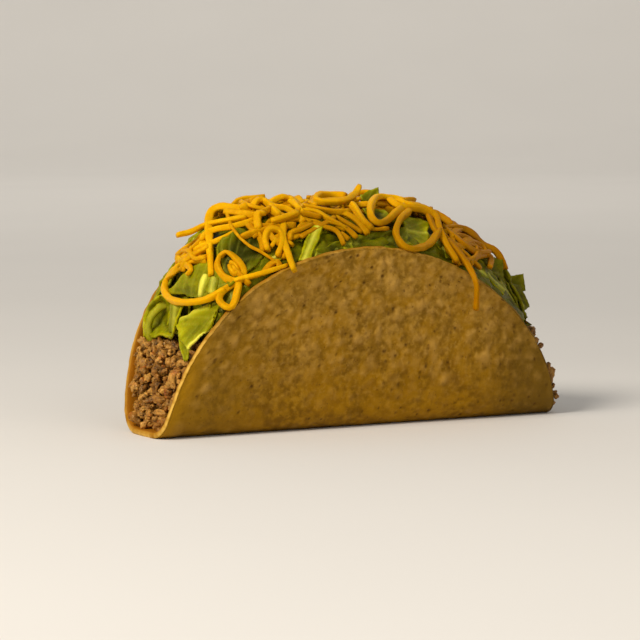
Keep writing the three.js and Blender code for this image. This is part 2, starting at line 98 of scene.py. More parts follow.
def smooth_step(low, high, value):
    t = np.clip((value - low) / (high - low), 0, 1)
    return t * t * (3 - 2 * t)


def corner_value(x, y, z, seed):
    """A repeatable number from -1 to 1 for each corner of a lattice."""
    bits = (x * HASH_X) ^ (y * HASH_Y) ^ (z * HASH_Z) ^ (seed * HASH_SEED)
    bits = (((bits ^ (bits >> 13)) & MASK) * HASH_FIRST) & MASK
    bits = ((bits ^ (bits >> 15)) * HASH_SECOND) & MASK
    return ((bits ^ (bits >> 16)) / MASK) * 2 - 1


def noise(points, size, seed, octaves=3):
    """Smooth noise of about -1 to 1 with lumps of that size, and finer ones on them."""
    place = np.asarray(points, dtype=float) / size
    total = np.zeros(place.shape[:-1])
    strength = 1.0
    for octave in range(octaves):
        cell = np.floor(place).astype(np.int64)
        share = place - cell
        share = share * share * (3 - 2 * share)
        for dx in (0, 1):
            for dy in (0, 1):
                for dz in (0, 1):
                    weight = np.abs(1 - dx - share[..., 0]) * np.abs(1 - dy - share[..., 1])
                    weight = weight * np.abs(1 - dz - share[..., 2])
                    corner = (cell[..., 0] + dx, cell[..., 1] + dy, cell[..., 2] + dz)
                    total += strength * weight * corner_value(*corner, seed + OCTAVE_SEEDS * octave)
        strength *= OCTAVE_WEAKER
        place = (place @ OCTAVE_TURN) * OCTAVE_FINER
    return total


def unit(vectors):
    length = np.linalg.norm(vectors, axis=-1, keepdims=True)
    return vectors / np.maximum(length, 1e-9)


def grid_quads(rows, columns):
    """Point numbers of a grid's quads, with the points numbered row by row."""
    i, j = np.meshgrid(np.arange(columns), np.arange(rows))
    first = (j * (columns + 1) + i).ravel()
    return np.stack([first, first + 1, first + columns + 2, first + columns + 1], 1)


def grid_border(rows, columns):
    """Numbers of a grid's border points, once round."""
    width = columns + 1
    sides = [
        np.arange(columns),
        columns + width * np.arange(rows),
        rows * width + np.arange(columns, 0, -1),
        width * np.arange(rows, 0, -1),
    ]
    return np.concatenate(sides)


def band(lower, upper):
    """Quads between two closed loops of point numbers."""
    return np.stack([lower, np.roll(lower, -1), np.roll(upper, -1), upper], 1)


def fan(loop, centre):
    """Triangles from a closed loop of point numbers to one point."""
    middle = np.full(len(loop), centre)
    return np.stack([loop, np.roll(loop, -1), middle], 1)


class Bundle:
    """Many closed bodies gathered into one mesh, with painted values for each point."""

    def __init__(self, *channels):
        self.points = []
        self.faces = []
        self.paint = {channel: [] for channel in channels}
        self.count = 0

    def add(self, points, face_blocks, **paint):
        points = np.asarray(points).reshape(-1, 3)
        for block in face_blocks:
            self.faces.extend((block + self.count).tolist())
        for channel, values in self.paint.items():
            value = np.ravel(paint.get(channel, 0.0))
            values.append(np.broadcast_to(value, len(points)))
        self.points.append(points)
        self.count += len(points)


def smooth_mesh(name, points, faces, material):
    mesh = bpy.data.meshes.new(name)
    mesh.from_pydata(points.tolist(), [], faces)
    mesh.polygons.foreach_set("use_smooth", np.ones(len(mesh.polygons), dtype=bool))
    mesh.materials.append(material)
    return mesh


def put_in_scene(name, data):
    item = bpy.data.objects.new(name, data)
    bpy.context.scene.collection.objects.link(item)
    return item


def add_piece(name, node, bundle, material):
    """Builds the piece that stands for a node."""
    mesh = smooth_mesh(name, np.concatenate(bundle.points) * MM, bundle.faces, material)
    for channel, values in bundle.paint.items():
        layer = mesh.attributes.new(channel, "FLOAT", "POINT")
        layer.data.foreach_set("value", np.concatenate(values).astype(np.float32))
    mesh.update()
    piece = put_in_scene(name, mesh)
    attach(piece, "root")
    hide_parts(node)


def sheet(middle, thickness):
    """A thin closed body round a grid of points: its points and faces."""
    rows, columns = middle.shape[0] - 1, middle.shape[1] - 1
    along = np.gradient(middle, axis=1)
    across = np.gradient(middle, axis=0)
    half = unit(np.cross(along, across)) * thickness / 2
    upper = (middle + half).reshape(-1, 3)
    lower = (middle - half).reshape(-1, 3)
    quads = grid_quads(rows, columns)
    border = grid_border(rows, columns)
    size = len(upper)
    faces = [quads, quads[:, ::-1] + size, band(border + size, border)]
    return np.concatenate([upper, lower]), faces


def tube(rings):
    """A closed body through rings of points."""
    count, size = rings.shape[:2]
    loop = np.arange(size)
    faces = [band(k * size + loop, (k + 1) * size + loop) for k in range(count - 1)]
    centres = rings[[0, -1]].mean(axis=1)
    first = count * size
    faces.append(fan(loop[::-1], first))
    faces.append(fan((count - 1) * size + loop, first + 1))
    return np.concatenate([rings.reshape(-1, 3), centres]), faces


# ---- The folded tortilla's form ----

def edge_radius(angle):
    waves = sum(w.height * np.cos(w.count * angle - w.turn) for w in EDGE_WAVES)
    return TORTILLA_R + FOLD_OFFSET * np.sin(angle) + waves


def edge_x(arc, end):
    """Where the rim stands at a signed arc length from the fold."""
    rise = np.arcsin(np.clip(arc / TORTILLA_R, -1, 1))
    for _ in range(EDGE_PASSES):
        angle = np.where(np.asarray(end) > 0, rise, math.pi - rise)
        rise = np.arcsin(np.clip(arc / edge_radius(angle), -1, 1))
    return edge_radius(angle) * np.cos(angle)


def edge_arc(x, side):
    """How far up a wall the rim stands at a place along the fold."""
    x = np.asarray(x, dtype=float)
    low = np.zeros_like(x)
    high = np.full_like(x, TORTILLA_R + EDGE_SPARE)
    for _ in range(EDGE_HALVINGS):
        middle = (low + high) / 2
        reach = np.abs(edge_x(side * middle, np.where(x < 0, -1, 1)))
        inside = np.maximum(np.abs(x), LEVEL_RIM) < reach
        low = np.where(inside, middle, low)
        high = np.where(inside, high, middle)
    return low


def wall_shape(side):
    front = np.asarray(side) < 0
    return np.where(front, FRONT_BEND, BACK_BEND), np.where(front, FRONT_LEAN, BACK_LEAN)


def wall_point(x, arc, side, depth):
    """A point of the folded tortilla: arc is measured across the fold, depth inwards."""
    bend, lean = wall_shape(side)
    bent = bend * (math.pi / 2 - lean)
    turn = np.clip((arc - BASE_HALF) / bend, 0, bent / bend)
    rest = np.maximum(arc - BASE_HALF - bent, 0)
    radius = bend - depth
    out = np.minimum(arc, BASE_HALF) + radius * np.sin(turn) + rest * np.sin(lean)
    up = depth + radius * (1 - np.cos(turn)) + rest * np.cos(lean)
    height = np.clip((arc - BASE_HALF - bent) / TORTILLA_R, 0, 1)
    ripple = WALL_RIPPLE * height * np.sin(2 * math.pi * x / RIPPLE_LENGTH + side)
    return np.stack(np.broadcast_arrays(x, side * (out + ripple), up), -1)


def arc_at_height(z, side, depth):
    bend, lean = wall_shape(side)
    radius = bend - depth
    bend_top = radius * (1 - np.sin(lean))
    rise = z - depth
    low = BASE_HALF + bend * np.arccos(np.clip(1 - rise / radius, -1, 1))
    high = BASE_HALF + bend * (math.pi / 2 - lean) + (rise - bend_top) / np.cos(lean)
    return np.where(rise < bend_top, low, high)


def inner_point(x, z, side):
    """Where a filling meets a wall, at a place along the fold and a height."""
    return wall_point(x, arc_at_height(z, side, FILL_DEPTH), side, FILL_DEPTH)


def inner_y(z, side):
    return inner_point(0.0, z, side)[..., 1]


RIM_PLACES = 601
RIM_X = np.linspace(-TORTILLA_R, TORTILLA_R, RIM_PLACES)
RIM = {side: wall_point(RIM_X, edge_arc(RIM_X, side), side, FILL_DEPTH) for side in (FRONT, BACK)}
PAST_RIM = 1.15  # how far out the slope of the heap runs on, as a share of the way to the rim


def rim(x, side):
    """The y and z of a wall's rim at its inner face."""
    points = RIM[side]
    return np.interp(x, RIM_X, points[:, 1]), np.interp(x, RIM_X, points[:, 2])


def heap_height(x, y, cover=0.0):
    """Height of the heap, which arches from rim to rim; cover lowers its crest."""
    left = np.minimum(np.abs(x) / HEAP_LEFT_END, 1) ** HEAP_LEFT_FALL
    right = np.minimum(np.abs(x) / HEAP_RIGHT_END, 1) ** HEAP_RIGHT_FALL
    crest = BEEF_TOP + GAP + (HEAP_RISE - cover) * (1 - np.where(x < 0, left, right))
    front_y, front_z = rim(x, FRONT)
    back_y, back_z = rim(x, BACK)
    rim_y = np.where(y < CREST_Y, front_y, back_y)
    rim_z = np.where(y < CREST_Y, front_z, back_z)
    across = np.clip((y - CREST_Y) / (rim_y - CREST_Y), 0, PAST_RIM)
    return crest - (crest - rim_z) * across**2


# ---- Tortilla shell ----

SHELL_COLUMNS = 260
BEND_ROWS = 26
WALL_ROWS = 96
BASE_ROWS = 8
STEEPEST = math.radians(88.5)  # angle of a wall's top row on the flat tortilla
RIM_BULGE = 0.5  # how far the round of the rim stands out
# How strongly each loop round the rim is painted with highlight, from the outer one in, and how like the
# inner face.
RIM_HIGHLIGHT_TONES = (1.0, 0.7, 0.3, 0.15, 0.05)
INSIDE_TONES = (0, 0.5, 0.5, 0.5, 1)
RIM_CHIPS = 0.25
INNER_GRAIN = 0.1
RIM_HIGHLIGHT_REACH = 1.3  # how far from the rim the painted highlight runs onto the outer face
GOLD_REACH, GOLD_FADE = 4, 10  # how far from it the gold colour is full, and where it is gone
BLISTERS, LOW_BLISTERS = 3600, 0.25  # how many are tried, and the share kept near the fold
BLISTER_SIZE, BLISTER_SPREAD = (0.6, 1.3), 0.4  # radii, and what is added to them on average
PITS, LOW_PITS = 620, 0.5
PIT_SIZE, PIT_DEPTH = (0.5, 0.95), (0.1, 0.45)
OUTER_GRAIN = (0.05, 0.13)  # height near the fold and higher up
UPPER_WALL = (12, 42)  # distances from the fold between which the outer face grows rough
OFTEN_FROM = (15, 45)  # the same for how many blisters and pits are kept
SWAY_START = 14
SLOW_SWAY, QUICK_SWAY = 0.7, 0.25
PALE_END = (-50, -64)  # the painted rim highlight and the gold come in between these places, towards the left end
# How strong the painted highlight is on the outer face next to the rim.
RIM_HIGHLIGHT_TONE = 0.35
STAMP_SPARE = 3  # rows of the grid slant a little, so stamp looks this much further


def half_angles(side):
    """Angles of the rows up one wall: even round the bend, then closer towards the top."""
    bend, lean = wall_shape(side)
    bent = float(bend * (math.pi / 2 - lean))
    base = np.linspace(0, BASE_HALF, BASE_ROWS // 2 + 1)[1:]
    bends = BASE_HALF + bent * np.arange(1, BEND_ROWS + 1) / BEND_ROWS
    low = np.arcsin(np.concatenate([base, bends]) / TORTILLA_R)
    high = np.linspace(low[-1], STEEPEST, WALL_ROWS + 1)[1:]
    return np.concatenate([low, high])


def shell_grid():
    """The flat tortilla as a grid of points, row by row across the fold."""
    front = -half_angles(FRONT)[::-1]
    angles = np.concatenate([front, [0.0], half_angles(BACK)])[:, None]
    u = np.linspace(0, 1, SHELL_COLUMNS + 1)[None, :]
    left, right = math.pi - angles, angles
    x = lerp(edge_radius(left) * np.cos(left), edge_radius(right) * np.cos(right), u)
    y = lerp(edge_radius(left) * np.sin(left), edge_radius(right) * np.sin(right), u)
    return np.stack([x, y], -1)


def flat_noise(flat, size, seed, octaves=3):
    level = 3.7  # any level off the lattice will do
    points = np.concatenate([flat, np.full(flat.shape[:-1] + (1,), level)], -1)
    return noise(points, size, seed, octaves)


def sway(flat):
    """Slow waves that both faces of the shell follow."""
    off_base = smooth_step(BASE_HALF, BASE_HALF + SWAY_START, np.abs(flat[..., 1]))
    slow, quick = flat_noise(flat, 26, 3, 2), flat_noise(flat, 9, 4, 2)
    return off_base * (SLOW_SWAY * slow + QUICK_SWAY * quick)


def stamp(flat, centres, radii, heights):
    """Adds a round dome or pit for each centre to a height field over the flat tortilla."""
    field = np.zeros(flat.shape[:-1])
    row_y = flat[:, :, 1].mean(axis=1)
    for centre, radius, height in zip(centres, radii, heights):
        near = np.nonzero(np.abs(row_y - centre[1]) < radius + STAMP_SPARE)[0]
        if not len(near):
            continue
        rows = slice(near[0], near[-1] + 1)
        square = ((flat[rows] - centre) ** 2).sum(-1) / radius**2
        field[rows] += height * np.clip(1 - square, 0, 1) ** 2
    return field


def scatter_on_tortilla(rng, count, low_share):
    """Random places on the flat tortilla, fewer of them near the fold."""
    angle = rng.uniform(0, 2 * math.pi, count)
    radius = TORTILLA_R * np.sqrt(rng.uniform(0, 1, count))
    places = np.stack([radius * np.cos(angle), radius * np.sin(angle)], 1)
    share = lerp(low_share, 1, smooth_step(*OFTEN_FROM, np.abs(places[:, 1])))
    return places[rng.uniform(0, 1, count) < share]


def shell_relief(flat):
    """Blisters, grain and pits of the outer face: height, and how pale and how dark."""
    rng = np.random.default_rng(SHELL_SEED)
    upper = smooth_step(*UPPER_WALL, np.abs(flat[..., 1]))
    off_base = smooth_step(BASE_HALF - 1, BASE_HALF + 4, np.abs(flat[..., 1]))

    places = scatter_on_tortilla(rng, BLISTERS, LOW_BLISTERS)
    radii = rng.uniform(*BLISTER_SIZE, len(places)) + rng.exponential(BLISTER_SPREAD, len(places))
    blisters = stamp(flat, places, radii, 0.05 + 0.1 * radii)

    places = scatter_on_tortilla(rng, PITS, LOW_PITS)
    radii = rng.uniform(*PIT_SIZE, len(places))
    pits = stamp(flat, places, radii, rng.uniform(*PIT_DEPTH, len(places)))

    grain = flat_noise(flat, 2.0, 8, 2)
    height = (lerp(0.7, 1, upper) * blisters + grain * lerp(*OUTER_GRAIN, upper)) * off_base - pits
    # Blister tops and grain are painted paler, more so up the wall: partly their own colour, partly painted
    # highlight on the raised tops.
    pale = np.clip(lerp(1.1, 1.8, upper) * blisters + 0.6 * grain * upper, 0, 1)
    return height, pale, np.clip(3.0 * pits, 0, 1)


def coarse_inner_faces(fine_rows, fine_columns, loop, first):
    """Faces of an inner grid of twice the step, sewn to the fine loop round its border.
    Returns the picked points' grid places and the faces."""
    rows, columns = fine_rows // 2, fine_columns // 2
    number = np.zeros((rows + 1, columns + 1), dtype=int)
    border = dict(zip(grid_border(fine_rows, fine_columns).tolist(), loop.tolist()))
    width = fine_columns + 1
    picked = []
    for j in range(rows + 1):
        for i in range(columns + 1):
            place = 2 * j * width + 2 * i
            if place in border:
                number[j, i] = border[place]
            else:
                number[j, i] = first + len(picked)
                picked.append(place)
    faces = []
    for j in range(rows):
        for i in range(columns):
            corners = [(j, i), (j, i + 1), (j + 1, i + 1), (j + 1, i)]
            face = []
            for (ja, ia), (jb, ib) in zip(corners, corners[1:] + corners[:1]):
                face.append(int(number[ja, ia]))
                between = (ja + jb) * width + ia + ib
                if between in border:
                    face.append(border[between])
            faces.append(face[::-1])
    return np.array(picked), faces


def shell_points(places, side, depth):
    return wall_point(places[..., 0], np.abs(places[..., 1]), side, depth)


def rim_loops(edge, side, relief, waves):
    """Loops of points round the rim, from the outer face's border to the inner face's."""
    chips = RIM_CHIPS * flat_noise(edge, 3.0, 12, 3)
    loops = []
    for turn in np.linspace(0, math.pi, len(RIM_HIGHLIGHT_TONES) + 1)[1:]:
        reach = (RIM_BULGE + chips) * math.sin(turn)
        place = edge + unit(edge) * reach[:, None]
        share = (1 - math.cos(turn)) / 2
        depth = lerp(-(relief + waves), SHELL_THICKNESS - waves, share)
        loops.append(shell_points(place, side, depth))
    return loops


def shell_paint(flat, border, pale, dark, inner_count):
    """What each channel says on the outer face, on the loops round the rim and on the inner face."""
    loop_size, loop_count = len(border), len(RIM_HIGHLIGHT_TONES)
    near_end = lerp(0.05, 1, smooth_step(*PALE_END, flat[..., 0]))
    from_rim = TORTILLA_R - np.linalg.norm(flat, axis=-1)
    # Painted highlight along the rim: on the outer face next to it and on the loops round it, strongest at
    # the left end.
    rim_highlight = smooth_step(RIM_HIGHLIGHT_REACH, 0, from_rim + 0.8 * flat_noise(flat, 4, 31))
    gold = near_end * smooth_step(GOLD_FADE, GOLD_REACH, from_rim + 2 * flat_noise(flat, 7, 32))
    speckle = np.clip(0.85 + flat_noise(flat.reshape(-1, 2)[border], 1.6, 33), 0, 1)
    rim_tone = near_end.ravel()[border]
    highlight_tones = [rim_tone * speckle * tone for tone in RIM_HIGHLIGHT_TONES]
    no_loops, no_inner = np.zeros(loop_count * loop_size), np.zeros(inner_count)
    channels = {
        "pale": (pale, no_loops, no_inner),
        "dark": (dark, no_loops, no_inner),
        "edge": (RIM_HIGHLIGHT_TONE * (near_end * rim_highlight), np.array(highlight_tones), no_inner),
        "gold": (gold, np.tile(rim_tone, loop_count), no_inner),
        "inside": (np.zeros(pale.shape), np.repeat(INSIDE_TONES, loop_size), np.ones(inner_count)),
    }
    return {name: np.concatenate([part.ravel() for part in parts]) for name, parts in channels.items()}


def tortilla_shell():
    flat = shell_grid()
    rows, columns = flat.shape[0] - 1, flat.shape[1] - 1
    side = np.where(flat[..., 1] < 0, FRONT, BACK)
    relief, pale, dark = shell_relief(flat)
    waves = sway(flat)
    outer = shell_points(flat, side, -(relief + waves))
    outer[..., 2] = np.maximum(outer[..., 2], 0)

    border = grid_border(rows, columns)
    places, sides, sways = flat.reshape(-1, 2), side.ravel(), waves.ravel()
    loops = rim_loops(places[border], sides[border], relief.ravel()[border], sways[border])

    size, loop_size = len(places), len(border)
    numbers = [border] + [size + k * loop_size + np.arange(loop_size) for k in range(len(loops))]
    first = size + len(loops) * loop_size
    picked, inner_faces = coarse_inner_faces(rows, columns, numbers[-1], first)
    grain = INNER_GRAIN * flat_noise(places[picked], 4, 21, 2)
    inner = shell_points(places[picked], sides[picked], SHELL_THICKNESS - sways[picked] + grain)

    bundle = Bundle("pale", "dark", "edge", "gold", "inside")
    points = np.concatenate([outer.reshape(-1, 3)] + loops + [inner])
    faces = [grid_quads(rows, columns)[:, ::-1]]
    faces += [band(upper, lower) for lower, upper in zip(numbers, numbers[1:])]
    bundle.add(points, faces, **shell_paint(flat, border, pale, dark, len(inner)))
    bundle.faces.extend(inner_faces)
    return bundle


# ---- Ground beef ----

def ball(subdivisions):
    """A unit icosphere: its points and triangles."""
    mesh = bpy.data.meshes.new("ball")
    form = bmesh.new()
    bmesh.ops.create_icosphere(form, subdivisions=subdivisions, radius=1)
    form.to_mesh(mesh)
    form.free()
    points = np.zeros(len(mesh.vertices) * 3)
    mesh.vertices.foreach_get("co", points)
    triangles = np.array([list(p.vertices) for p in mesh.polygons])
    bpy.data.meshes.remove(mesh)
    return points.reshape(-1, 3), triangles


# Layers of crumbs from the inside out: spacing, radii, how far out they lie, the share left out
# and how finely their balls are divided.
CrumbLayer = namedtuple("CrumbLayer", "spacing least most out skip level")
CRUMB_LAYERS = [
    CrumbLayer(2.7, 1.2, 1.8, -1.9, 0.0, 2),
    CrumbLayer(2.9, 1.0, 2.4, 0.0, 0.22, 3),
    CrumbLayer(2.6, 0.6, 1.6, 1.6, 0.42, 3),
]
BALLS = {layer.level: ball(layer.level) for layer in CRUMB_LAYERS}
LUMP_SWELL, CRAG_SWELL, CRAG_LEVEL = 0.42, 0.72, 0.35
LEAST_STRETCH, MOST_STRETCH = (0.65, 0.85, 0.6), (1.05, 1.7, 1.0)

# Deep gaps between the crumbs of an end: y, z and radius.
BEEF_HOLLOWS = [(0, 16, 2.7), (-6, 27, 3.2), (13, 19, 2.1), (6, 23.5, 1.9), (-3, 7.5, 1.7)]

CORE_HEIGHTS = np.concatenate([np.linspace(FILL_DEPTH, 8, 7), np.linspace(10, BEEF_TOP, 12)])
WALL_POINTS, END_POINTS = 50, 18
CORE_SETBACK = 1.6  # how far the core's end faces lie behind the crumbs
CORE_ROUGH = 0.5
# The core behind the crumbs is painted nearly dark, as painted shade.
CORE_TONE, CORE_DARK = 0.4, 0.9
ROUGH_ENDS = 40  # the core is rough further from the middle than this
LOWEST_CRUMBS = 3.4
ROW_SHARE = 0.87  # height of a row of crumbs, as a share of their spacing
CRUMB_SWAY, CRUMB_DEPTH = 0.9, 0.7  # how far a crumb strays up or down, and in or out
HOLLOW_DEPTH = 1.2  # how much further in a crumb lies in a hollow
RIGHT_SETBACK = 0.9  # and one at the right end


def crumb(bundle, rng, centre, radius, level, shade):
    """One craggy lump of cooked mince."""
    unit_points, triangles = BALLS[level]
    offset = rng.uniform(-50, 50, 3)
    lumps = noise(unit_points + offset, 1.0, 3, 2)
    crags = CRAG_LEVEL - np.abs(noise(unit_points + offset, 0.55, 4, 2))
    swell = 1 + LUMP_SWELL * lumps + CRAG_SWELL * crags
    stretch = rng.uniform(LEAST_STRETCH, MOST_STRETCH)
    turn = np.array(Matrix.Rotation(rng.uniform(0, 2 * math.pi), 3, Vector(rng.normal(size=3))))
    points = (unit_points * swell[:, None] * stretch) @ turn * radius + centre
    # Painted shade: darker in the crags, and as the shade value says.
    dark = np.clip(shade + 0.25 - 1.2 * (swell - 1), 0, 1)
    bundle.add(points, [triangles], tone=rng.uniform(0, 1), dark=dark)


def beef_end_x(z, across, end):
    ends = [edge_x(side * arc_at_height(z, side, FILL_DEPTH), end) for side in (FRONT, BACK)]
    return lerp(ends[0], ends[1], across) - end * BEEF_INSET[end]


def core_end_x(z, across, end):
    return beef_end_x(z, across, end) - end * CORE_SETBACK


def beef_core(bundle):
    """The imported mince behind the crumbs."""
    rings = []
    for z in CORE_HEIGHTS:
        ring = []
        for start, stop, side, across in ((LEFT, RIGHT, FRONT, 0.0), (RIGHT, LEFT, BACK, 1.0)):
            share = np.arange(WALL_POINTS) / WALL_POINTS
            x = lerp(core_end_x(z, across, start), core_end_x(z, across, stop), share)
            ring.append(inner_point(x, z, side))
            share = np.arange(END_POINTS) / END_POINTS
            share = share if side == FRONT else 1 - share
            y = lerp(inner_y(z, FRONT), inner_y(z, BACK), share)
            ring.append(np.stack(np.broadcast_arrays(core_end_x(z, share, stop), y, z), -1))
        rings.append(np.concatenate(ring))
    points, faces = tube(np.array(rings))
    rough = CORE_ROUGH * noise(points, 2.2, 15, 2)
    points[:, 0] += rough * (np.abs(points[:, 0]) > ROUGH_ENDS)
    bundle.add(points, faces, tone=CORE_TONE, dark=CORE_DARK)


def in_hollow(y, z):
    return any(math.hypot(y - hy, z - hz) < radius for hy, hz, radius in BEEF_HOLLOWS)


def lay_crumb(bundle, rng, layer, end, z, place, count):
    """Lays the crumb at one place of a row across an end, unless a hollow is there."""
    radius = rng.uniform(layer.least, layer.most)
    across = (place + rng.uniform(0.1, 0.9)) / count
    height = min(z + rng.uniform(-CRUMB_SWAY, CRUMB_SWAY), BEEF_TOP - radius)
    height = max(height, FILL_DEPTH + 0.8 * radius)
    low_y, high_y = inner_y(height, FRONT), inner_y(height, BACK)
    y = float(np.clip(lerp(low_y, high_y, across), low_y + radius, high_y - radius))
    hollow = in_hollow(y, height)
    if hollow and layer.out > -1:
        return
    out = layer.out + rng.uniform(-CRUMB_DEPTH, CRUMB_DEPTH) - HOLLOW_DEPTH * hollow
    out -= RIGHT_SETBACK * (end == RIGHT)
    x = float(beef_end_x(height, across, end)) + end * out
    # Painted shade for crumbs in a hollow and for those that lie further in.
    shade = 0.5 * hollow + 0.45 * float(smooth_step(1.2, -1.6, out))
    crumb(bundle, rng, np.array([x, y, height]), radius, layer.level, shade)


def beef_crumbs(bundle):
    rng = np.random.default_rng(BEEF_SEED)
    for end in (LEFT, RIGHT):
        for layer in CRUMB_LAYERS:
            for z in np.arange(LOWEST_CRUMBS, BEEF_TOP - 0.8, layer.spacing * ROW_SHARE):
                count = max(1, int((inner_y(z, BACK) - inner_y(z, FRONT)) / layer.spacing))
                for place in range(count):
                    if rng.uniform() >= layer.skip:
                        lay_crumb(bundle, rng, layer, end, z, place, count)


def ground_beef():
    bundle = Bundle("tone", "dark")
    beef_core(bundle)
    beef_crumbs(bundle)
    return bundle


# ---- The pile: what lies on the heap is laid piece by piece on a height map ----

PILE_STEP = 0.5
PILE_X = np.arange(-72, 76, PILE_STEP)
PILE_Y = np.arange(-34, 38, PILE_STEP)
PILE = heap_height(PILE_X[:, None], PILE_Y[None, :], CHEESE_COVER)


def pile_cells(points):
    i = np.clip(np.round((points[:, 0] - PILE_X[0]) / PILE_STEP).astype(int), 0, len(PILE_X) - 1)
    j = np.clip(np.round((points[:, 1] - PILE_Y[0]) / PILE_STEP).astype(int), 0, len(PILE_Y) - 1)
    return i, j


def cells_within(points, radius):
    """The cells at each offset within a radius of the points, and the square of that offset."""
    reach = int(math.ceil(radius / PILE_STEP))
    i, j = pile_cells(points)
    for di in range(-reach, reach + 1):
        for dj in range(-reach, reach + 1):
            away = (di * di + dj * dj) * PILE_STEP**2
            if away <= radius**2:
                near_i = np.clip(i + di, 0, len(PILE_X) - 1)
                near_j = np.clip(j + dj, 0, len(PILE_Y) - 1)
                yield near_i, near_j, away


def pile_under(points, radius):
    """The highest place of the pile within a radius of each point, to the nearest cell."""
    best = np.full(len(points), -np.inf)
    for i, j, _ in cells_within(points, PILE_STEP * round(radius / PILE_STEP)):
        best = np.maximum(best, PILE[i, j])
    return best


def add_to_pile(points, radius):
    """Raises the pile to the top of a round bar through the points."""
    for i, j, away in cells_within(points, radius):
        np.maximum.at(PILE, (i, j), points[:, 2] + math.sqrt(radius**2 - away))


def mark(cells, route, reach):
    """Marks the cells up to that many steps to each side of a route."""
    i, j = pile_cells(route)
    for di in range(-reach, reach + 1):
        for dj in range(-reach, reach + 1):
            cells[i + di, j + dj] = True


# ---- Lettuce ----

# Rows of points across a leaf; how far its edges are cupped out, ruffled and ragged; its tone
# from dark to light; how pale its rib and its cut edge are; how much lighter its edges are painted, as
# painted light through the thin edges.
Leaf = namedtuple("Leaf", "rows cup ruffle rag tone rib cut lip", defaults=(0.0, 0.0, 0.55))
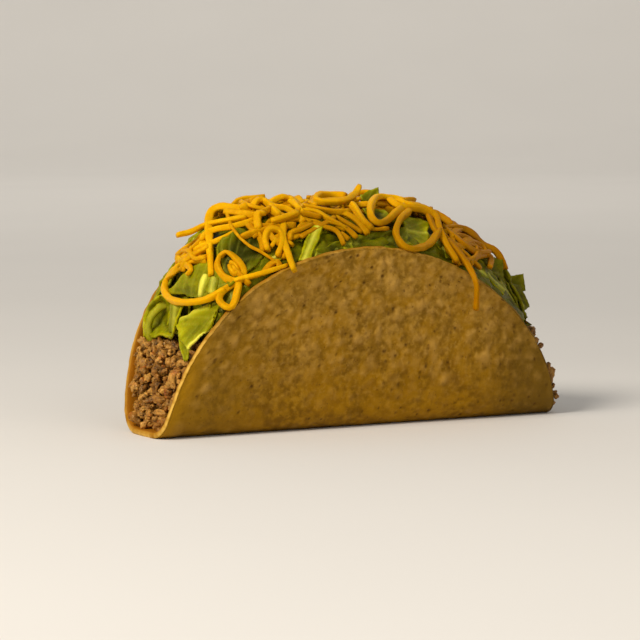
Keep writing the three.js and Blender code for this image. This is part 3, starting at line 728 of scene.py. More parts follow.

# Leaves that the photo shows, and some in their style where it doesn't. Many of the points were
# picked by eye in the photo and turned into millimetres, to 0.5 mm, by a scratch program. Others
# were moved or added.
LEAVES = [
    # The curled leaves that close the left end.
    Leaf([
        [[-58.5, 14, 43.5], [-57, 11, 44], [-58, -1, 42.5]],
        [[-61, 20, 38], [-58, 14, 37], [-60.5, -2, 36.5]],
        [[-63, 18.5, 31], [-60.5, 12, 30.5], [-60.5, 0.5, 31]],
    ], 2.4, 0.5, 0.4, 0.55, 0.0, 0.0, 1.3),
    Leaf([
        [[-50.5, -14.5, 45.5], [-56.5, -9, 41], [-60.5, 0, 36.5]],
        [[-53, -16, 40.5], [-57.5, -13.5, 37.5], [-62, -5, 33]],
        [[-55, -16, 35.5], [-59, -15.5, 32.5], [-62.5, -13.5, 29]],
    ], 0.9, 0.7, 0.3, 0.7, 0.0, 1.0, 0.8),
    Leaf([[[-62, -3, 34], [-60.5, -12, 32.5]], [[-64, -14, 25.5], [-63, -14.5, 25.5]]],
         0.6, 0.4, 0.4, 0.75),
    Leaf([
        [[-58, 14, 45], [-55.5, 2.5, 52], [-51.5, -4, 57]],
        [[-57, -4, 45], [-54, -8.5, 48.5], [-49.5, -10.5, 53.5]],
        [[-53, -13.5, 44.5], [-51, -15, 46], [-48, -15.5, 49.5]],
    ], 0.5, 0.8, 0.4, 0.55),
    # A leaf under the cheese, given the darkest tone as painted shade.
    Leaf([
        [[-49, -5, 59], [-44.5, -5.5, 63.5], [-40.5, -6, 66.5]],
        [[-49, -11, 53], [-44, -12, 58], [-36.5, -10.5, 64.5]],
        [[-48, -16, 48], [-43, -16.5, 52], [-37, -16, 57.5]],
    ], 0.4, 1.5, 0.5, 0.0),
    # The curled lip of the first leaf, and a pale fold beside it.
    Leaf([
        [[-58.5, 15, 42.5], [-64, 17, 36], [-63.5, 16, 28.5]],
        [[-56, 14, 40.5], [-62, 16, 35.5], [-61.5, 15, 29]],
    ], -0.6, 0.4, 0.3, 0.95, 0.25),
    Leaf([[[-61, 3, 43], [-62, 3, 33.5]], [[-59, -1, 42.5], [-60, -1, 32.5]]],
         -0.7, 0.4, 0.4, 0.5, 0.4),
    # Leaves behind them, packed upright.
    Leaf([
        [[-54.5, 20, 46], [-54, 2, 50], [-54, -13, 43]],
        [[-56, 20, 31.5], [-55.5, 2, 31.5], [-55.5, -13, 31.5]],
    ], 0.6, 1.2, 0.6, 0.25),
    Leaf([[[-55, 12, 47], [-56, 0, 44]], [[-57.5, 13, 32], [-57, -8, 31.5]]], 0.6, 0.7, 0.6, 0.3),
    # A bright stalk and a paler shred among the left leaves.
    Leaf([[[-54.5, -5.5, 51.5], [-56.5, -7, 45.5]], [[-52.5, -8.5, 51.5], [-55.5, -9.5, 45.5]]],
         -0.5, 0.3, 0.4, 0.6, 1.0),
    Leaf([[[-53, -9, 51.5], [-54.5, -10.5, 46.5]], [[-51, -12, 52], [-52.5, -13.5, 46.5]]],
         -0.4, 0.4, 0.4, 0.5, 0.5),
    # A rib and two bands that stand behind the front rim.
    Leaf([[[-18.8, -14.5, 67], [-27.4, -21.3, 56.5]], [[-14.8, -15.2, 67.2], [-23.4, -22.2, 56.5]]],
         0.5, 0.2, 0.2, 0.75, 0.55),
    Leaf([[[-19.5, -19.5, 59.8], [-6, -17.5, 63.6]], [[-22.5, -21.5, 56], [-7.5, -21.5, 59.5]]],
         0.4, 0.3, 0.3, 0.18, 0.15),
    Leaf([[[-11, -18, 62.8], [16, -14.5, 65.6]], [[-10, -21.8, 59], [13, -20.8, 59.5]]],
         0.5, 0.3, 0.3, 0.22, 0.1),
    # Leaves behind the cheese rings, and one on the crest.
    Leaf([[[19, -7, 69.5], [28, -8, 66.5]], [[12.5, -20, 60.5], [22.5, -17.5, 60]]],
         0.8, 0.5, 0.4, 0.75, 0.3),
    Leaf([[[5, -4, 72], [12, -6, 71]], [[6, -12, 67.5], [14, -12, 67.5]]], 0.4, 0.5, 0.4, 0.3),
    Leaf([[[10.5, 8, 75.5], [17.5, 8, 78]], [[10, 3.5, 69], [17.5, 3.5, 70]]], 0.4, 0.5, 0.4, 0.4),
    # The shreds that stick out at the right end.
    Leaf([[[46, -4, 55], [60, -2, 52.5]], [[42.5, -16.5, 48], [59.5, -6, 43.5]]], 0.8, 0.9, 0.3, 0.4, 0.2),
    Leaf([[[60, 2, 46], [71.5, 2, 47.5]], [[58, 0, 40], [71, 0, 41.5]]], 0.5, 0.5, 0.25, 0.5, 0.0),
    Leaf([[[54.5, -8, 45], [68.5, 0, 44]], [[64, -8, 34], [70.5, -2, 36]]], 0.5, 0.6, 0.4, 0.2, 0.0),
    # Leaves that close the right end.
    Leaf([
        [[61, -10, 41], [59, 3, 49], [61.5, 15, 41]],
        [[65.5, -9, 31], [65, 3, 31.5], [65, 14, 31]],
    ], 0.8, 1.4, 0.6, 0.3, 0.3),
    Leaf([[[60, -3, 50], [58, 9, 51]], [[66.5, -2, 35], [65.5, 8, 37]]], 1.0, 1.0, 0.6, 0.45, 0.6),
    Leaf([[[63, 6, 44], [60, 15, 46]], [[67, 7, 32], [65.5, 14, 33]]], -0.8, 0.9, 0.5, 0.25, 0.2),
    Leaf([[[62, -9, 43], [63, -3, 45]], [[66.5, -8, 32], [67, -3, 31]]], 0.6, 0.8, 0.5, 0.5, 0.4),
]

# Leaves laid at random on the slopes: how many, on which side, between which shares of the way
# from crest to rim and which places along the fold, how far their inner edge may stand up, and
# the least and most length and width.
LeafPatch = namedtuple("LeafPatch", "count side nearest furthest left right highest least most")
LEAF_PATCHES = [
    LeafPatch(24, BACK, 0.5, 0.9, -46, 60, 2.2, (9, 3.5), (22, 7.5)),
    LeafPatch(6, FRONT, 0.55, 0.85, -46, -12, 0.9, (9, 3.5), (22, 7.5)),
    LeafPatch(4, FRONT, 0.55, 0.85, 26, 52, 0.9, (9, 3.5), (22, 7.5)),
    LeafPatch(44, BACK, 0.62, 0.97, -50, 60, 3.4, (6, 2.5), (16, 6)),
    LeafPatch(9, BACK, 0.1, 0.9, 50, 64, 2.0, (6, 2.5), (14, 6)),
    LeafPatch(7, FRONT, 0.1, 0.8, 52, 64, 1.0, (6, 2.5), (14, 6)),
    LeafPatch(12, BACK, 0.3, 0.92, -56, -41, 0.9, (6, 2.5), (14, 6)),
]
LEAF_TURN = 0.5  # how far they usually turn from the fold's direction, in radians
LEAF_CUP, LEAF_RUFFLE, LEAF_RAG = (-0.8, 0.8), (0.3, 0.8), 0.35
LEAF_TONE = (0.15, 0.65)
LEAF_RISE, LEAF_LOW = 0.3, (-0.6, 0.4)  # the least rise of the inner edge, and how deep they lie
PALE_RIBS, RIB_TONE = 0.25, 0.8  # the share with a pale rib, and how pale it is
RIM_SPARE = 2.0  # how near the rim they may lie

LEAF_THICKNESS = 0.8
LEAF_STEP = 0.6
FLAT_PART = 0.35  # a leaf is cupped, and painted lighter, where its edge value is above this
RIB_HALF, RIB_HEIGHT = 0.75, 0.35
VEIN_GAP, VEIN_DEPTH = 4.5, 0.08
CRINKLE = 0.16
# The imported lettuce: points along it, over its top, along its base and up its sides.
CORE_STATIONS, CORE_CROWN, CORE_BASE = 150, 70, 6
CREASE_SIZE, CREASE_HEIGHT = 4.2, 0.9
SIDE_SHARES = np.array([0.25, 0.5, 0.75])
LEAST_SIDE = 0.4
CORE_LEFT = -55.0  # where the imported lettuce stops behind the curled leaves


def weights(count, share):
    """Weights of evenly spaced points on the smooth curve through them."""
    places = np.linspace(0, 1, count)
    parts = []
    for place in places:
        others = places[places != place]
        parts.append(np.prod([(share - other) / (place - other) for other in others], axis=0))
    return np.stack(parts, -1)


def both_faces(values):
    return np.tile(np.ravel(values), 2)


def leaf(bundle, shape, seed):
    """A thin leaf through rows of points, cupped, ruffled along its edges and ragged."""
    net = np.array(shape.rows, dtype=float)
    a, b, c, d = net[0, 0], net[0, -1], net[-1, -1], net[-1, 0]
    long = (np.linalg.norm(b - a) + np.linalg.norm(c - d)) / 2
    wide = (np.linalg.norm(d - a) + np.linalg.norm(c - b)) / 2
    columns = max(6, int(long / LEAF_STEP))
    rows = max(5, int(wide / LEAF_STEP))
    u, v = np.meshgrid(np.linspace(0, 1, columns + 1), np.linspace(0, 1, rows + 1))
    from_u, from_v = 2 * u - 1, 2 * v - 1  # how far off the middle, from -1 to 1
    place = np.stack([u * long, v * wide, np.full_like(u, 11.3 * seed)], -1)

    # The outline wanders in and out.
    rag_u = shape.rag * noise(place, 3.2, 40, 3) * from_u**2 * np.sign(from_u) / long
    rag_v = shape.rag * noise(place, 3.2, 41, 3) * from_v**2 * np.sign(from_v) / wide
    across, down = weights(net.shape[1], u + 2 * rag_u), weights(net.shape[0], v + 2 * rag_v)
    middle = np.einsum("rci,rcj,ijk->rck", down, across, net)

    normal = unit(np.cross(b - d, c - a))
    centre = (a + b + c + d) / 4
    away = centre - np.array([0, CREST_Y, BEEF_TOP])
    normal = normal if normal @ away > 0 else -normal
    edge = np.maximum(np.abs(from_u) ** 3, np.abs(from_v) ** 3)
    wave = noise(place, 7.5, 42, 1)
    crinkle = noise(place, 1.8, 43, 2)
    rib = np.exp(-((from_v * wide / 2) / RIB_HALF) ** 2)
    along_veins = u * long - np.abs(from_v) * wide * 0.6
    veins = np.exp(-(np.sin(math.pi * along_veins / VEIN_GAP) / 0.35) ** 2)
    lift = shape.cup * (edge - FLAT_PART) + shape.ruffle * wave * (0.5 + edge) + CRINKLE * crinkle
    lift = lift + RIB_HEIGHT * rib * shape.rib - VEIN_DEPTH * veins * (1 - rib)
    middle = middle + normal * lift[..., None]
    points, faces = sheet(middle, LEAF_THICKNESS)
    cut = smooth_step(1 - 1.1 / wide, 1 - 0.2 / wide, v) + 0.35 * smooth_step(2.2 / wide, 0, v)
    pale = np.clip(shape.rib * rib + 0.1 * veins + shape.cut * cut, 0, 1)
    # Painted light: the edges are lighter by lip, for light through the thin leaf.
    tone = np.clip(shape.tone + 0.22 * wave + 0.12 * crinkle + shape.lip * (edge - FLAT_PART), 0, 1)
    bundle.add(points, faces, tone=both_faces(tone), pale=both_faces(pale))
    add_to_pile(middle.reshape(-1, 3), LEAF_THICKNESS / 2 + PILE_STEP)


def lettuce_core(bundle):
    """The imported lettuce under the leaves, creased by those that can't be told apart."""
    floor = BEEF_TOP + GAP
    swing = np.sin(math.pi / 2 * np.linspace(-1, 1, CORE_STATIONS + 1))
    rings = []
    for x in np.where(swing < 0, -swing * CORE_LEFT, swing * LETTUCE_RIGHT):
        rims = [float(rim(x, side)[1]) for side in (FRONT, BACK)]
        front_z, back_z = [max(z - RIM_DROP, floor + LEAST_SIDE) for z in rims]
        base_y = lerp(inner_y(floor, FRONT), inner_y(floor, BACK), np.linspace(0, 1, CORE_BASE))
        lower = np.stack(np.broadcast_arrays(x, base_y, floor), 1)
        sides = []
        for side, top in ((BACK, back_z), (FRONT, front_z)):
            z = lerp(floor, top, SIDE_SHARES)
            z = z if side == BACK else z[::-1]
            sides.append(inner_point(x, z, side))
        share = np.linspace(0, 1, CORE_CROWN + 1)
        y = lerp(inner_y(back_z, BACK), inner_y(front_z, FRONT), share)
        z = np.maximum(heap_height(x, y, CHEESE_COVER + 1.0), lerp(back_z, front_z, share))
        top = np.stack(np.broadcast_arrays(x, y, z), 1)
        rings.append(np.concatenate([lower, sides[0], top, sides[1]]))
    points, faces = tube(np.array(rings))
    crease = 1 - np.abs(noise(points * (0.6, 1, 1), CREASE_SIZE, 51, 2)) * 2
    fine = noise(points, 1.6, 52, 2)
    on_top = smooth_step(floor + 0.5, floor + 3, points[:, 2])
    points[:, 2] += on_top * (CREASE_HEIGHT * crease + 0.25 * fine)
    points[:, 0] += 0.8 * on_top * noise(points, 3.5, 53, 2)
    # Painted shade: the core is dark green, darker still in the valleys of its creases, for the shade deep
    # in the pile.
    bundle.add(points, faces, tone=np.clip(0.12 + 0.25 * crease, 0, 1))


def loose_leaves(bundle, rng, patch):
    """Shredded leaves on one slope, which lie in the pile or stand up in it a little."""
    for k in range(patch.count):
        x = lerp(patch.left, patch.right, (k + rng.uniform()) / patch.count)
        heading = rng.normal(0, LEAF_TURN)
        long, wide = rng.uniform(patch.least, patch.most)
        across = rng.uniform(patch.nearest, patch.furthest)
        rise, low = rng.uniform(LEAF_RISE, patch.highest), rng.uniform(*LEAF_LOW)
        corners = []
        for s, t in ((-1, -1), (1, -1), (1, 1), (-1, 1)):
            along, over = s * long / 2, t * wide / 2
            px = x + along * math.cos(heading) - over * math.sin(heading)
            rim_y = float(rim(px, patch.side)[0])
            py = lerp(CREST_Y, rim_y, across) + along * math.sin(heading) + over * math.cos(heading)
            furthest = rim_y - patch.side * RIM_SPARE
            py = min(py, furthest) if patch.side == BACK else max(py, furthest)
            outer = t * patch.side > 0
            z = heap_height(px, py, CHEESE_COVER) + low + (0 if outer else rise)
            corners.append([px, py, float(z)])
        rows = [corners[:2], corners[:1:-1]]
        shape = Leaf(rows, rng.uniform(*LEAF_CUP), rng.uniform(*LEAF_RUFFLE), LEAF_RAG,
                     rng.uniform(*LEAF_TONE), RIB_TONE * float(rng.uniform() < PALE_RIBS))
        leaf(bundle, shape, 100 * (patch.side + 2) + k)


def lettuce_shreds():
    bundle = Bundle("tone", "pale")
    lettuce_core(bundle)
    rng = np.random.default_rng(LETTUCE_SEED)
    for patch in LEAF_PATCHES:
        loose_leaves(bundle, rng, patch)
    for seed, shape in enumerate(LEAVES):
        leaf(bundle, shape, seed)
    return bundle


# ---- Grated cheese ----

# Routes of shreds. Many follow shreds in the photo: their points were picked by eye there and
# turned into millimetres, to 0.5 mm, by a scratch program. Others were moved or added.
# First those that the solids have too, and others like them.
SHREDS = {
    "leftPoint": [[-58.5, 4, 64.5], [-53.5, 4, 65.5], [-48, 4, 67.5], [-43.5, -2, 69], [-37.5, -4.5, 70]],
    "ovalLoop": [
        [-49, -8.5, 58.5], [-50.5, -10, 55], [-49.5, -14, 51.5], [-46.5, -17, 50.5],
        [-44, -16.5, 53.5], [-45, -13.5, 57], [-47, -10, 59.5], [-49.5, -9, 57.5],
    ],
    "dropLoop": [
        [-46, -17, 50.5], [-51, -15.5, 47.5], [-53, -17, 44.5],
        [-51, -20, 42.5], [-49, -20, 44.5], [-46.5, -18, 50],
    ],
    "rimStick": [[-47.5, -16.5, 50.5], [-39.5, -20, 53], [-31, -21.5, 55.5]],
    "crestStubA": [[-34.5, -1, 69], [-35.5, -1, 71], [-37.5, -1, 74.5]],
    "lumpC": [[-22, -9.5, 71.5], [-19.5, -7.5, 73], [-14, -2, 74], [-14, -8, 73.5]],
    "hookA": [[-32, -7, 71.5], [-34.5, -7, 71.5], [-35.5, -8.5, 69.5], [-36, -10.5, 66.5]],
    "rightStrand": [[-0.5, -7.5, 74], [-0.5, -11.5, 71.5], [-0.5, -15.5, 68.5], [1.5, -18, 66]],
    "rightCurl": [
        [33.5, -8, 64.5], [43, -4, 64.5], [48.5, -3, 62],
        [53, -2, 58.5], [58.5, -2, 55.5], [62, -2, 49.5],
    ],
    "leftTuft": [[-55, 8.5, 55.5], [-53, 5, 58.5], [-51, 0, 61], [-47.5, -4.5, 63], [-41.5, -6, 66]],
    "knotA": [[-55.5, 11, 55], [-54, 7, 58], [-52.5, 3, 61], [-51, 1.5, 63]],
    "knotB": [[-56, 6.5, 53], [-55, 3, 56.5], [-52.5, -1, 59], [-50.5, -4, 61]],
    "knotC": [[-55, 12, 56.5], [-55.5, 5, 55.5], [-55.5, -0.5, 53.5], [-56.5, 0.5, 52]],
    "knotD": [[-54, 9.5, 58.5], [-54, 3.5, 59], [-54, -1.5, 57], [-52, -5, 58]],
    "tuftB": [[-56, 4.5, 52.5], [-54.5, 5, 55.5], [-53, 4.5, 58.5], [-51, 2, 62.5], [-48.5, 1, 65]],
    "topStub": [[-34.5, 6, 74.5], [-34.5, -1.5, 73.5], [-30, -4, 72]],
    "rightTuft": [[34, -9, 65], [38, -13.5, 60.5], [44.5, -12.5, 56.5], [52.5, -6.5, 56]],
}

# The thickest, which stand up on the crest or loop over it.
BOLD = {
    "leftSweep": [
        [-53.5, 3, 57.5], [-56.5, 9, 53], [-56.5, 16.5, 49.5], [-58.8, 13.5, 46],
        [-60.5, 4, 43.5], [-59.5, -7, 43.5], [-55.5, -13.5, 45], [-50.5, -16, 48],
    ],
    "smallCurl": [
        [-35.5, -16.5, 60], [-35, -13.5, 63.5], [-32.5, -12, 66.5],
        [-29.5, -13.5, 65.5], [-30.5, -16.5, 62], [-33, -18.5, 58],
    ],
    "rimHanger": [
        [-26, -7, 69], [-27.5, -11.5, 67.5], [-29.5, -15.5, 63.5], [-30, -20.5, 58.5], [-30.5, -25.5, 54],
    ],
    "leftArch": [
        [-34.5, -1.5, 72], [-39.5, 2, 73], [-42.5, 6.5, 73],
        [-46, 6, 70], [-50, -3, 61.5], [-52.5, -9.5, 52],
    ],
    "topStick": [[-31.5, -10.5, 69], [-27, -11, 70], [-21.5, -10, 71.5]],
    "crestHumpA": [
        [-34, 0, 71], [-33, 0, 73.5], [-30.5, 1, 75.5],
        [-28, 0, 74.5], [-28.5, -6.5, 72.5], [-27.5, -9, 70.5],
    ],
    "crestHumpB": [
        [-27, 1, 73.5], [-24.5, 2, 75], [-21.5, 2, 76], [-19, 1, 75], [-20, -7, 73], [-19.5, -10, 71],
    ],
    "topOval": [
        [8, 3, 79], [5, 1, 76.5], [0, -3, 75], [-4.5, -5, 74.5], [-9.5, -5, 74.5],
        [-11.5, -3, 75], [-9.5, 0, 76], [-6.5, 2, 76.5], [-2, 2, 76.5], [1, 0, 76],
    ],
    "crestRing": [
        [22.5, -2, 74], [18.5, 0.5, 75], [13.5, 0, 75.5], [8.5, -5, 74], [4.5, -11.5, 70.5],
        [4.5, -15, 68], [8.5, -14, 68], [16, -9, 71], [22, -4.5, 72.5], [27.5, -3.5, 72],
    ],
    "rightRing": [
        [21, -8, 71], [14.5, -13.5, 68.5], [10, -19, 64.5], [10.5, -23, 60.5],
        [15, -23, 59.5], [22, -19.5, 60.5], [29.5, -13.5, 64.5],
    ],
    "rightRun": [
        [20, 4, 75], [21.5, -5, 73], [28, -5, 71.5], [31.5, -7, 69],
        [30, -12.5, 65], [30, -17.5, 60], [31.5, -22, 54.5],
    ],
}

# Thinner shreds of the tangle round them.
TANGLE = {
    "tuftA": [[-54.5, 11.5, 55], [-53.5, 7.5, 58], [-52, 3, 60.5], [-50, -1.5, 62]],
    "tuftE": [[-56.5, 9, 52], [-55, 10, 55], [-53.5, 6, 58.5], [-51, 5, 61]],
    "tuftF": [[-54, 14, 57], [-53.5, 10, 59], [-51, 5, 62], [-49.5, 3.5, 64.5]],
    "knotE": [[-55, 4.5, 55], [-53.5, -1, 56], [-52, -5, 56.5]],
    "knotF": [[-53.5, 4, 60.5], [-55, 3, 57.5], [-56, 7, 55.5], [-56.5, 6.5, 54]],
    "tuftD": [[-55, 12.5, 53.5], [-54.5, 7, 55.5], [-53.5, 2.5, 57], [-52, -1.5, 58]],
    "archRun": [[-42.5, 2, 72], [-38.5, -3, 71.5], [-35, -6, 71], [-29, -5.5, 73]],
    "topLumpA": [[-29, 0.5, 75.5], [-28, -4, 73.5], [-24.5, -6.5, 73], [-22, -9, 71], [-20.5, -12.5, 68.5]],
    "topLumpB": [[-22.5, 1, 76], [-19, 0.5, 76], [-18.5, -4.5, 74], [-16.5, -7.5, 72.5], [-14, -10, 71.5]],
    "fanA": [[-8.5, -9.5, 71.5], [-5, -11, 71], [-2, -14.5, 68.5], [-0.5, -19, 64.5]],
    "rimCurl": [[-39, -19.5, 52.5], [-36, -19, 55.5], [-33.5, -19.5, 56.5], [-33.5, -21, 54]],
    "ovalInner": [[-47, -13, 55], [-45.5, -16.5, 52.5], [-43.5, -19.5, 49.5]],
    "leftLong": [
        [-51.5, 0, 60.5], [-49.5, 2, 64.5], [-46.5, -1.5, 66.5], [-42, -5, 67.5], [-35, -6.5, 69.5],
    ],
    "ovalCurl": [
        [-47, -12, 56.5], [-45.5, -13.5, 55.5], [-45.5, -15.5, 53.5],
        [-47, -15.5, 52.5], [-47.5, -13.5, 54], [-47.5, -12.5, 55.5],
    ],
    "fillA": [[-19.5, -8, 72], [-15, -9.5, 71.5], [-12, -13, 69.5], [-7.5, -17, 66]],
    "fillE": [[-1, -7.5, 73], [-1, -14.5, 69], [2, -17, 66], [8, -17, 66]],
    "fillF": [[-18, -6.5, 73.5], [-13.5, -8.5, 72.5], [-8.5, -10.5, 71.5], [-3, -11, 71.5]],
    "ovalFill": [[-9.5, -2, 75], [-4.5, -1.5, 75.2], [-0.5, -1, 75.2]],
    "rightFillA": [[34.5, -13, 62], [40.5, -9, 62], [47, -6.5, 59.5], [52.5, -5.5, 55.5], [53, -8, 53]],
    "rightFillB": [[32.5, -15, 60.5], [36, -15.5, 58], [40.5, -16.5, 54], [43.5, -16.5, 51.5]],
    "rightCurlA": [
        [35, -16, 58.5], [41, -11, 60.5], [46, -9, 58.5], [42.5, -15, 55.5], [36, -19, 54.5], [34, -18, 57],
    ],
    "rightCurlB": [[38.5, -18.5, 53.5], [45.5, -12, 55.5], [53.5, -6, 54.5], [49, -13.5, 51.5]],
    "rightWave": [[32.5, -15.5, 61], [37, -15, 59], [43.5, -9.5, 60.5], [50, -5.5, 58.5], [51, -8.5, 55]],
    "rightHook": [[30, -17, 59.5], [31.5, -18.5, 57], [34.5, -19.5, 54], [40, -16, 55]],
    "midA": [[-37, -6.5, 68.5], [-34, -9, 67.5], [-30, -10.5, 67.5], [-26.5, -12.5, 66.5]],
    "midB": [[-32.5, -14, 63.5], [-28.5, -14, 64.5], [-26, -15.5, 64], [-23, -15, 65]],
    "midC": [[-36, -10, 65.5], [-36, -13, 62.5], [-36.5, -15, 59.5]],
    "midD": [[-34, -15.5, 61], [-31.5, -14.5, 63], [-28.5, -15.5, 62.5], [-27, -17.5, 61.5]],
    "midE": [[-26.5, -10.5, 68.5], [-21.5, -10.5, 69.5], [-17.5, -12.5, 68.5]],
    "midF": [[-38.5, -4.5, 69], [-37.5, -8, 67], [-37, -11, 64]],
    "midG": [[-23, -13.5, 66.5], [-18.5, -12, 68.5], [-14.5, -13.5, 67.5]],
    "midH": [[-32.5, -11, 66], [-30, -12, 66], [-26.5, -11.5, 67.5], [-23.5, -12.5, 67.5]],
    "hookTop": [[-18.5, -14, 68], [-23, -15, 66.5], [-26.5, -15, 65.5], [-28, -16.5, 63]],
    "tangleA": [[-29, -6.5, 72], [-25.5, -10, 70], [-19, -10, 71], [-14, -12, 70]],
    "tangleC": [[-33.5, -12, 65.5], [-32, -15, 63], [-29.5, -17.5, 61], [-31.5, -19.5, 57.5]],
    "tangleD": [[-41.5, -9, 64], [-37.5, -10, 65.5], [-33, -11, 66.5], [-29.5, -10.5, 68.5]],
    "ringTail": [
        [16.5, -2, 75], [17, -6.5, 73], [20.5, -7, 72], [27, -6, 71], [31, -7.5, 68.5], [29.5, -12.5, 65.5],
    ],
    "rightFallA": [[28.5, -7.5, 69.5], [28, -13, 65], [30.5, -17.5, 59.5], [33, -20.5, 53]],
    "rightFallB": [[29.5, -12, 64.5], [32.5, -14.5, 61], [34, -16.5, 57.5], [31.5, -20.5, 54]],
    "rightMassA": [[33.5, -15.5, 59], [36, -11, 63], [43.5, -3.5, 64], [50, 2, 61.5], [55, 5, 57]],
    "rightMassB": [[32.5, -18, 56.5], [40.5, -12, 59], [47, -8.5, 57.5], [50, -7.5, 55.5]],
}

# Thin strands that fan out on the front slope.
FAN = {
    "fanB": [[-12.5, -14, 68.5], [-8, -16.5, 67], [-5, -20, 63.5]],
    "fanC": [[-18, -13.5, 68], [-14.5, -15.5, 67], [-11, -17.5, 65.5], [-10.5, -21.5, 61.5]],
    "fillD": [[-8.5, -11.5, 70], [-5, -15, 67.5], [-2, -18, 65]],
    "tangleE": [[-24, -17, 64], [-19.5, -15.5, 66], [-14, -14.5, 68], [-9, -12, 70]],
    "rimShort": [[-10, -18, 65], [-8, -20, 63]],
}

# One as thin as a thread.
THREAD = {
    "slantLine": [
        [-41.5, 3, 72.5], [-43, -6.5, 66.5], [-41, -12.5, 62], [-37.5, -16, 59.5], [-34, -19.5, 56.5],
    ],
}

# One that trails over the wall.
TRAIL = {
    "wallHanger": [
        [31, -15.5, 61.5], [33.5, -18.5, 58], [35.5, -23, 52.5], [36, -27, 47], [36.5, -26, 38.5],
    ],
}

# Most width and thickness, and darkest and lightest tone. The low tones of the fan, thread and trail shreds
# are painted shade.
Kind = namedtuple("Kind", "routes widest thickest tones")
KINDS = [
    Kind(SHREDS, 2.6, 1.7, (0.3, 1)),
    Kind(BOLD, 2.6, 2.2, (0.6, 1)),
    Kind(TANGLE, 2.3, 1.5, (0, 0.9)),
    Kind(FAN, 1.8, 1.2, (0, 0.4)),
    Kind(THREAD, 1.4, 1.1, (0, 0.2)),
    Kind(TRAIL, 2.1, 1.6, (0, 0)),
]
ROUTE_SIDES = 12
ROUTE_MARGIN, LOOSE_MARGIN = 2, 1  # cells that a shred takes up to each side

CURVE_PARTS = 20  # short lines between two points of a route
SHRED_STEP = 1.0
SHRED_SQUARE = 0.5  # from 1 for a round section down to 0 for a square one
BLUNT_END = 0.85
TWIST = 1.2
WIDTH_VARIES, THICKNESS_VARIES, SHRED_ROUGH = 0.14, 0.16, 0.08

# Loose shreds are laid one by one: first a bed in several passes, then others between the routes.
BED_PASSES = 3
PASS_COUNT = 130
CHOICES = 10  # random routes to choose from for each shred
BED_SIDES, LOOSE_SIDES = 8, 10
LOOSE_WIDTH, LOOSE_THICKNESS, LOOSE_TONES = (2.0, 2.8), (1.2, 1.8), (0, 0.8)
START_X, START_BACK = (-44, 54), 0.72
ROUTE_STEPS = (12, 38)
ROUTE_BEND, BEND_CHANGE = 0.085, 0.02  # radians a millimetre, and its change at each step
FURTHEST_BACK = 0.8
LEFT_LIMIT, RIGHT_LIMIT = -47, 57
LEFT_SLANT, LEFT_START = 0.5, -49  # the left limit moves in towards the back
SHORTEST_ROUTE, LONG_ROUTE = 7, 16  # steps; a route longer than the second counts for no more
SETTLE_PASSES, SETTLE_SPAN = 8, 5
SETTLE_SINK, SETTLE_LIFT = 0.4, 0.75  # millimetres, and a share of the radius
BED_LAY = 0.9  # how far above the heap's form the middle of a shred in the bed may lie
HIGHEST_LAY = 1.6  # the same for a loose shred
BACK_LAY = 2.5  # what a shred on the back slope may add to that
CREST_DIP = 0.8  # how much lower it stays on the left half of the crest, where others stand up
DIP_START, DIP_STOP = (-46, -38), (16, 8)
BACK_SLOPE = (CREST_Y + 3, CREST_Y + 12)

# How far down the front slope the cheese lies: x, and the share from crest to rim.
FRONT_COVER = [
    (-60, 0.05), (-48, 0.1), (-45, 0.3), (-39, 0.38), (-36, 0.5), (-33.5, 0.82), (-28, 0.8), (-19, 0.7),
    (-14, 0.7), (-6, 0.86), (5, 0.86), (10, 0.8), (16, 0.66), (22, 0.4), (28, 0.4), (33, 0.8), (40, 0.7),
    (50, 0.35), (58, 0.2),
]
# Places that stay clear of loose cheese, so that lettuce shows: x, y and radius.
GREEN_WINDOWS = [(11, -7, 4.5), (18.5, -16, 6), (-43.5, 2, 4), (13.5, 6, 3.5)]


def smooth_route(points):
    """Evenly spaced points on a smooth curve through the given ones."""
    path = np.array(points, dtype=float)
    path = np.concatenate([[2 * path[0] - path[1]], path, [2 * path[-1] - path[-2]]])
    pieces = []
    t = np.linspace(0, 1, CURVE_PARTS, endpoint=False)[:, None]
    for a, b, c, d in zip(path, path[1:], path[2:], path[3:]):
        curve = 2 * b + (c - a) * t + (2 * a - 5 * b + 4 * c - d) * t**2 + (3 * b - a - 3 * c + d) * t**3
        pieces.append(0.5 * curve)
    dense = np.concatenate(pieces + [path[-2:-1]])
    length = np.concatenate([[0], np.cumsum(np.linalg.norm(np.diff(dense, axis=0), axis=1))])
    count = max(4, int(length[-1] / SHRED_STEP))
    even = np.linspace(0, length[-1], count + 1)
    return np.stack([np.interp(even, length, dense[:, k]) for k in range(3)], 1)


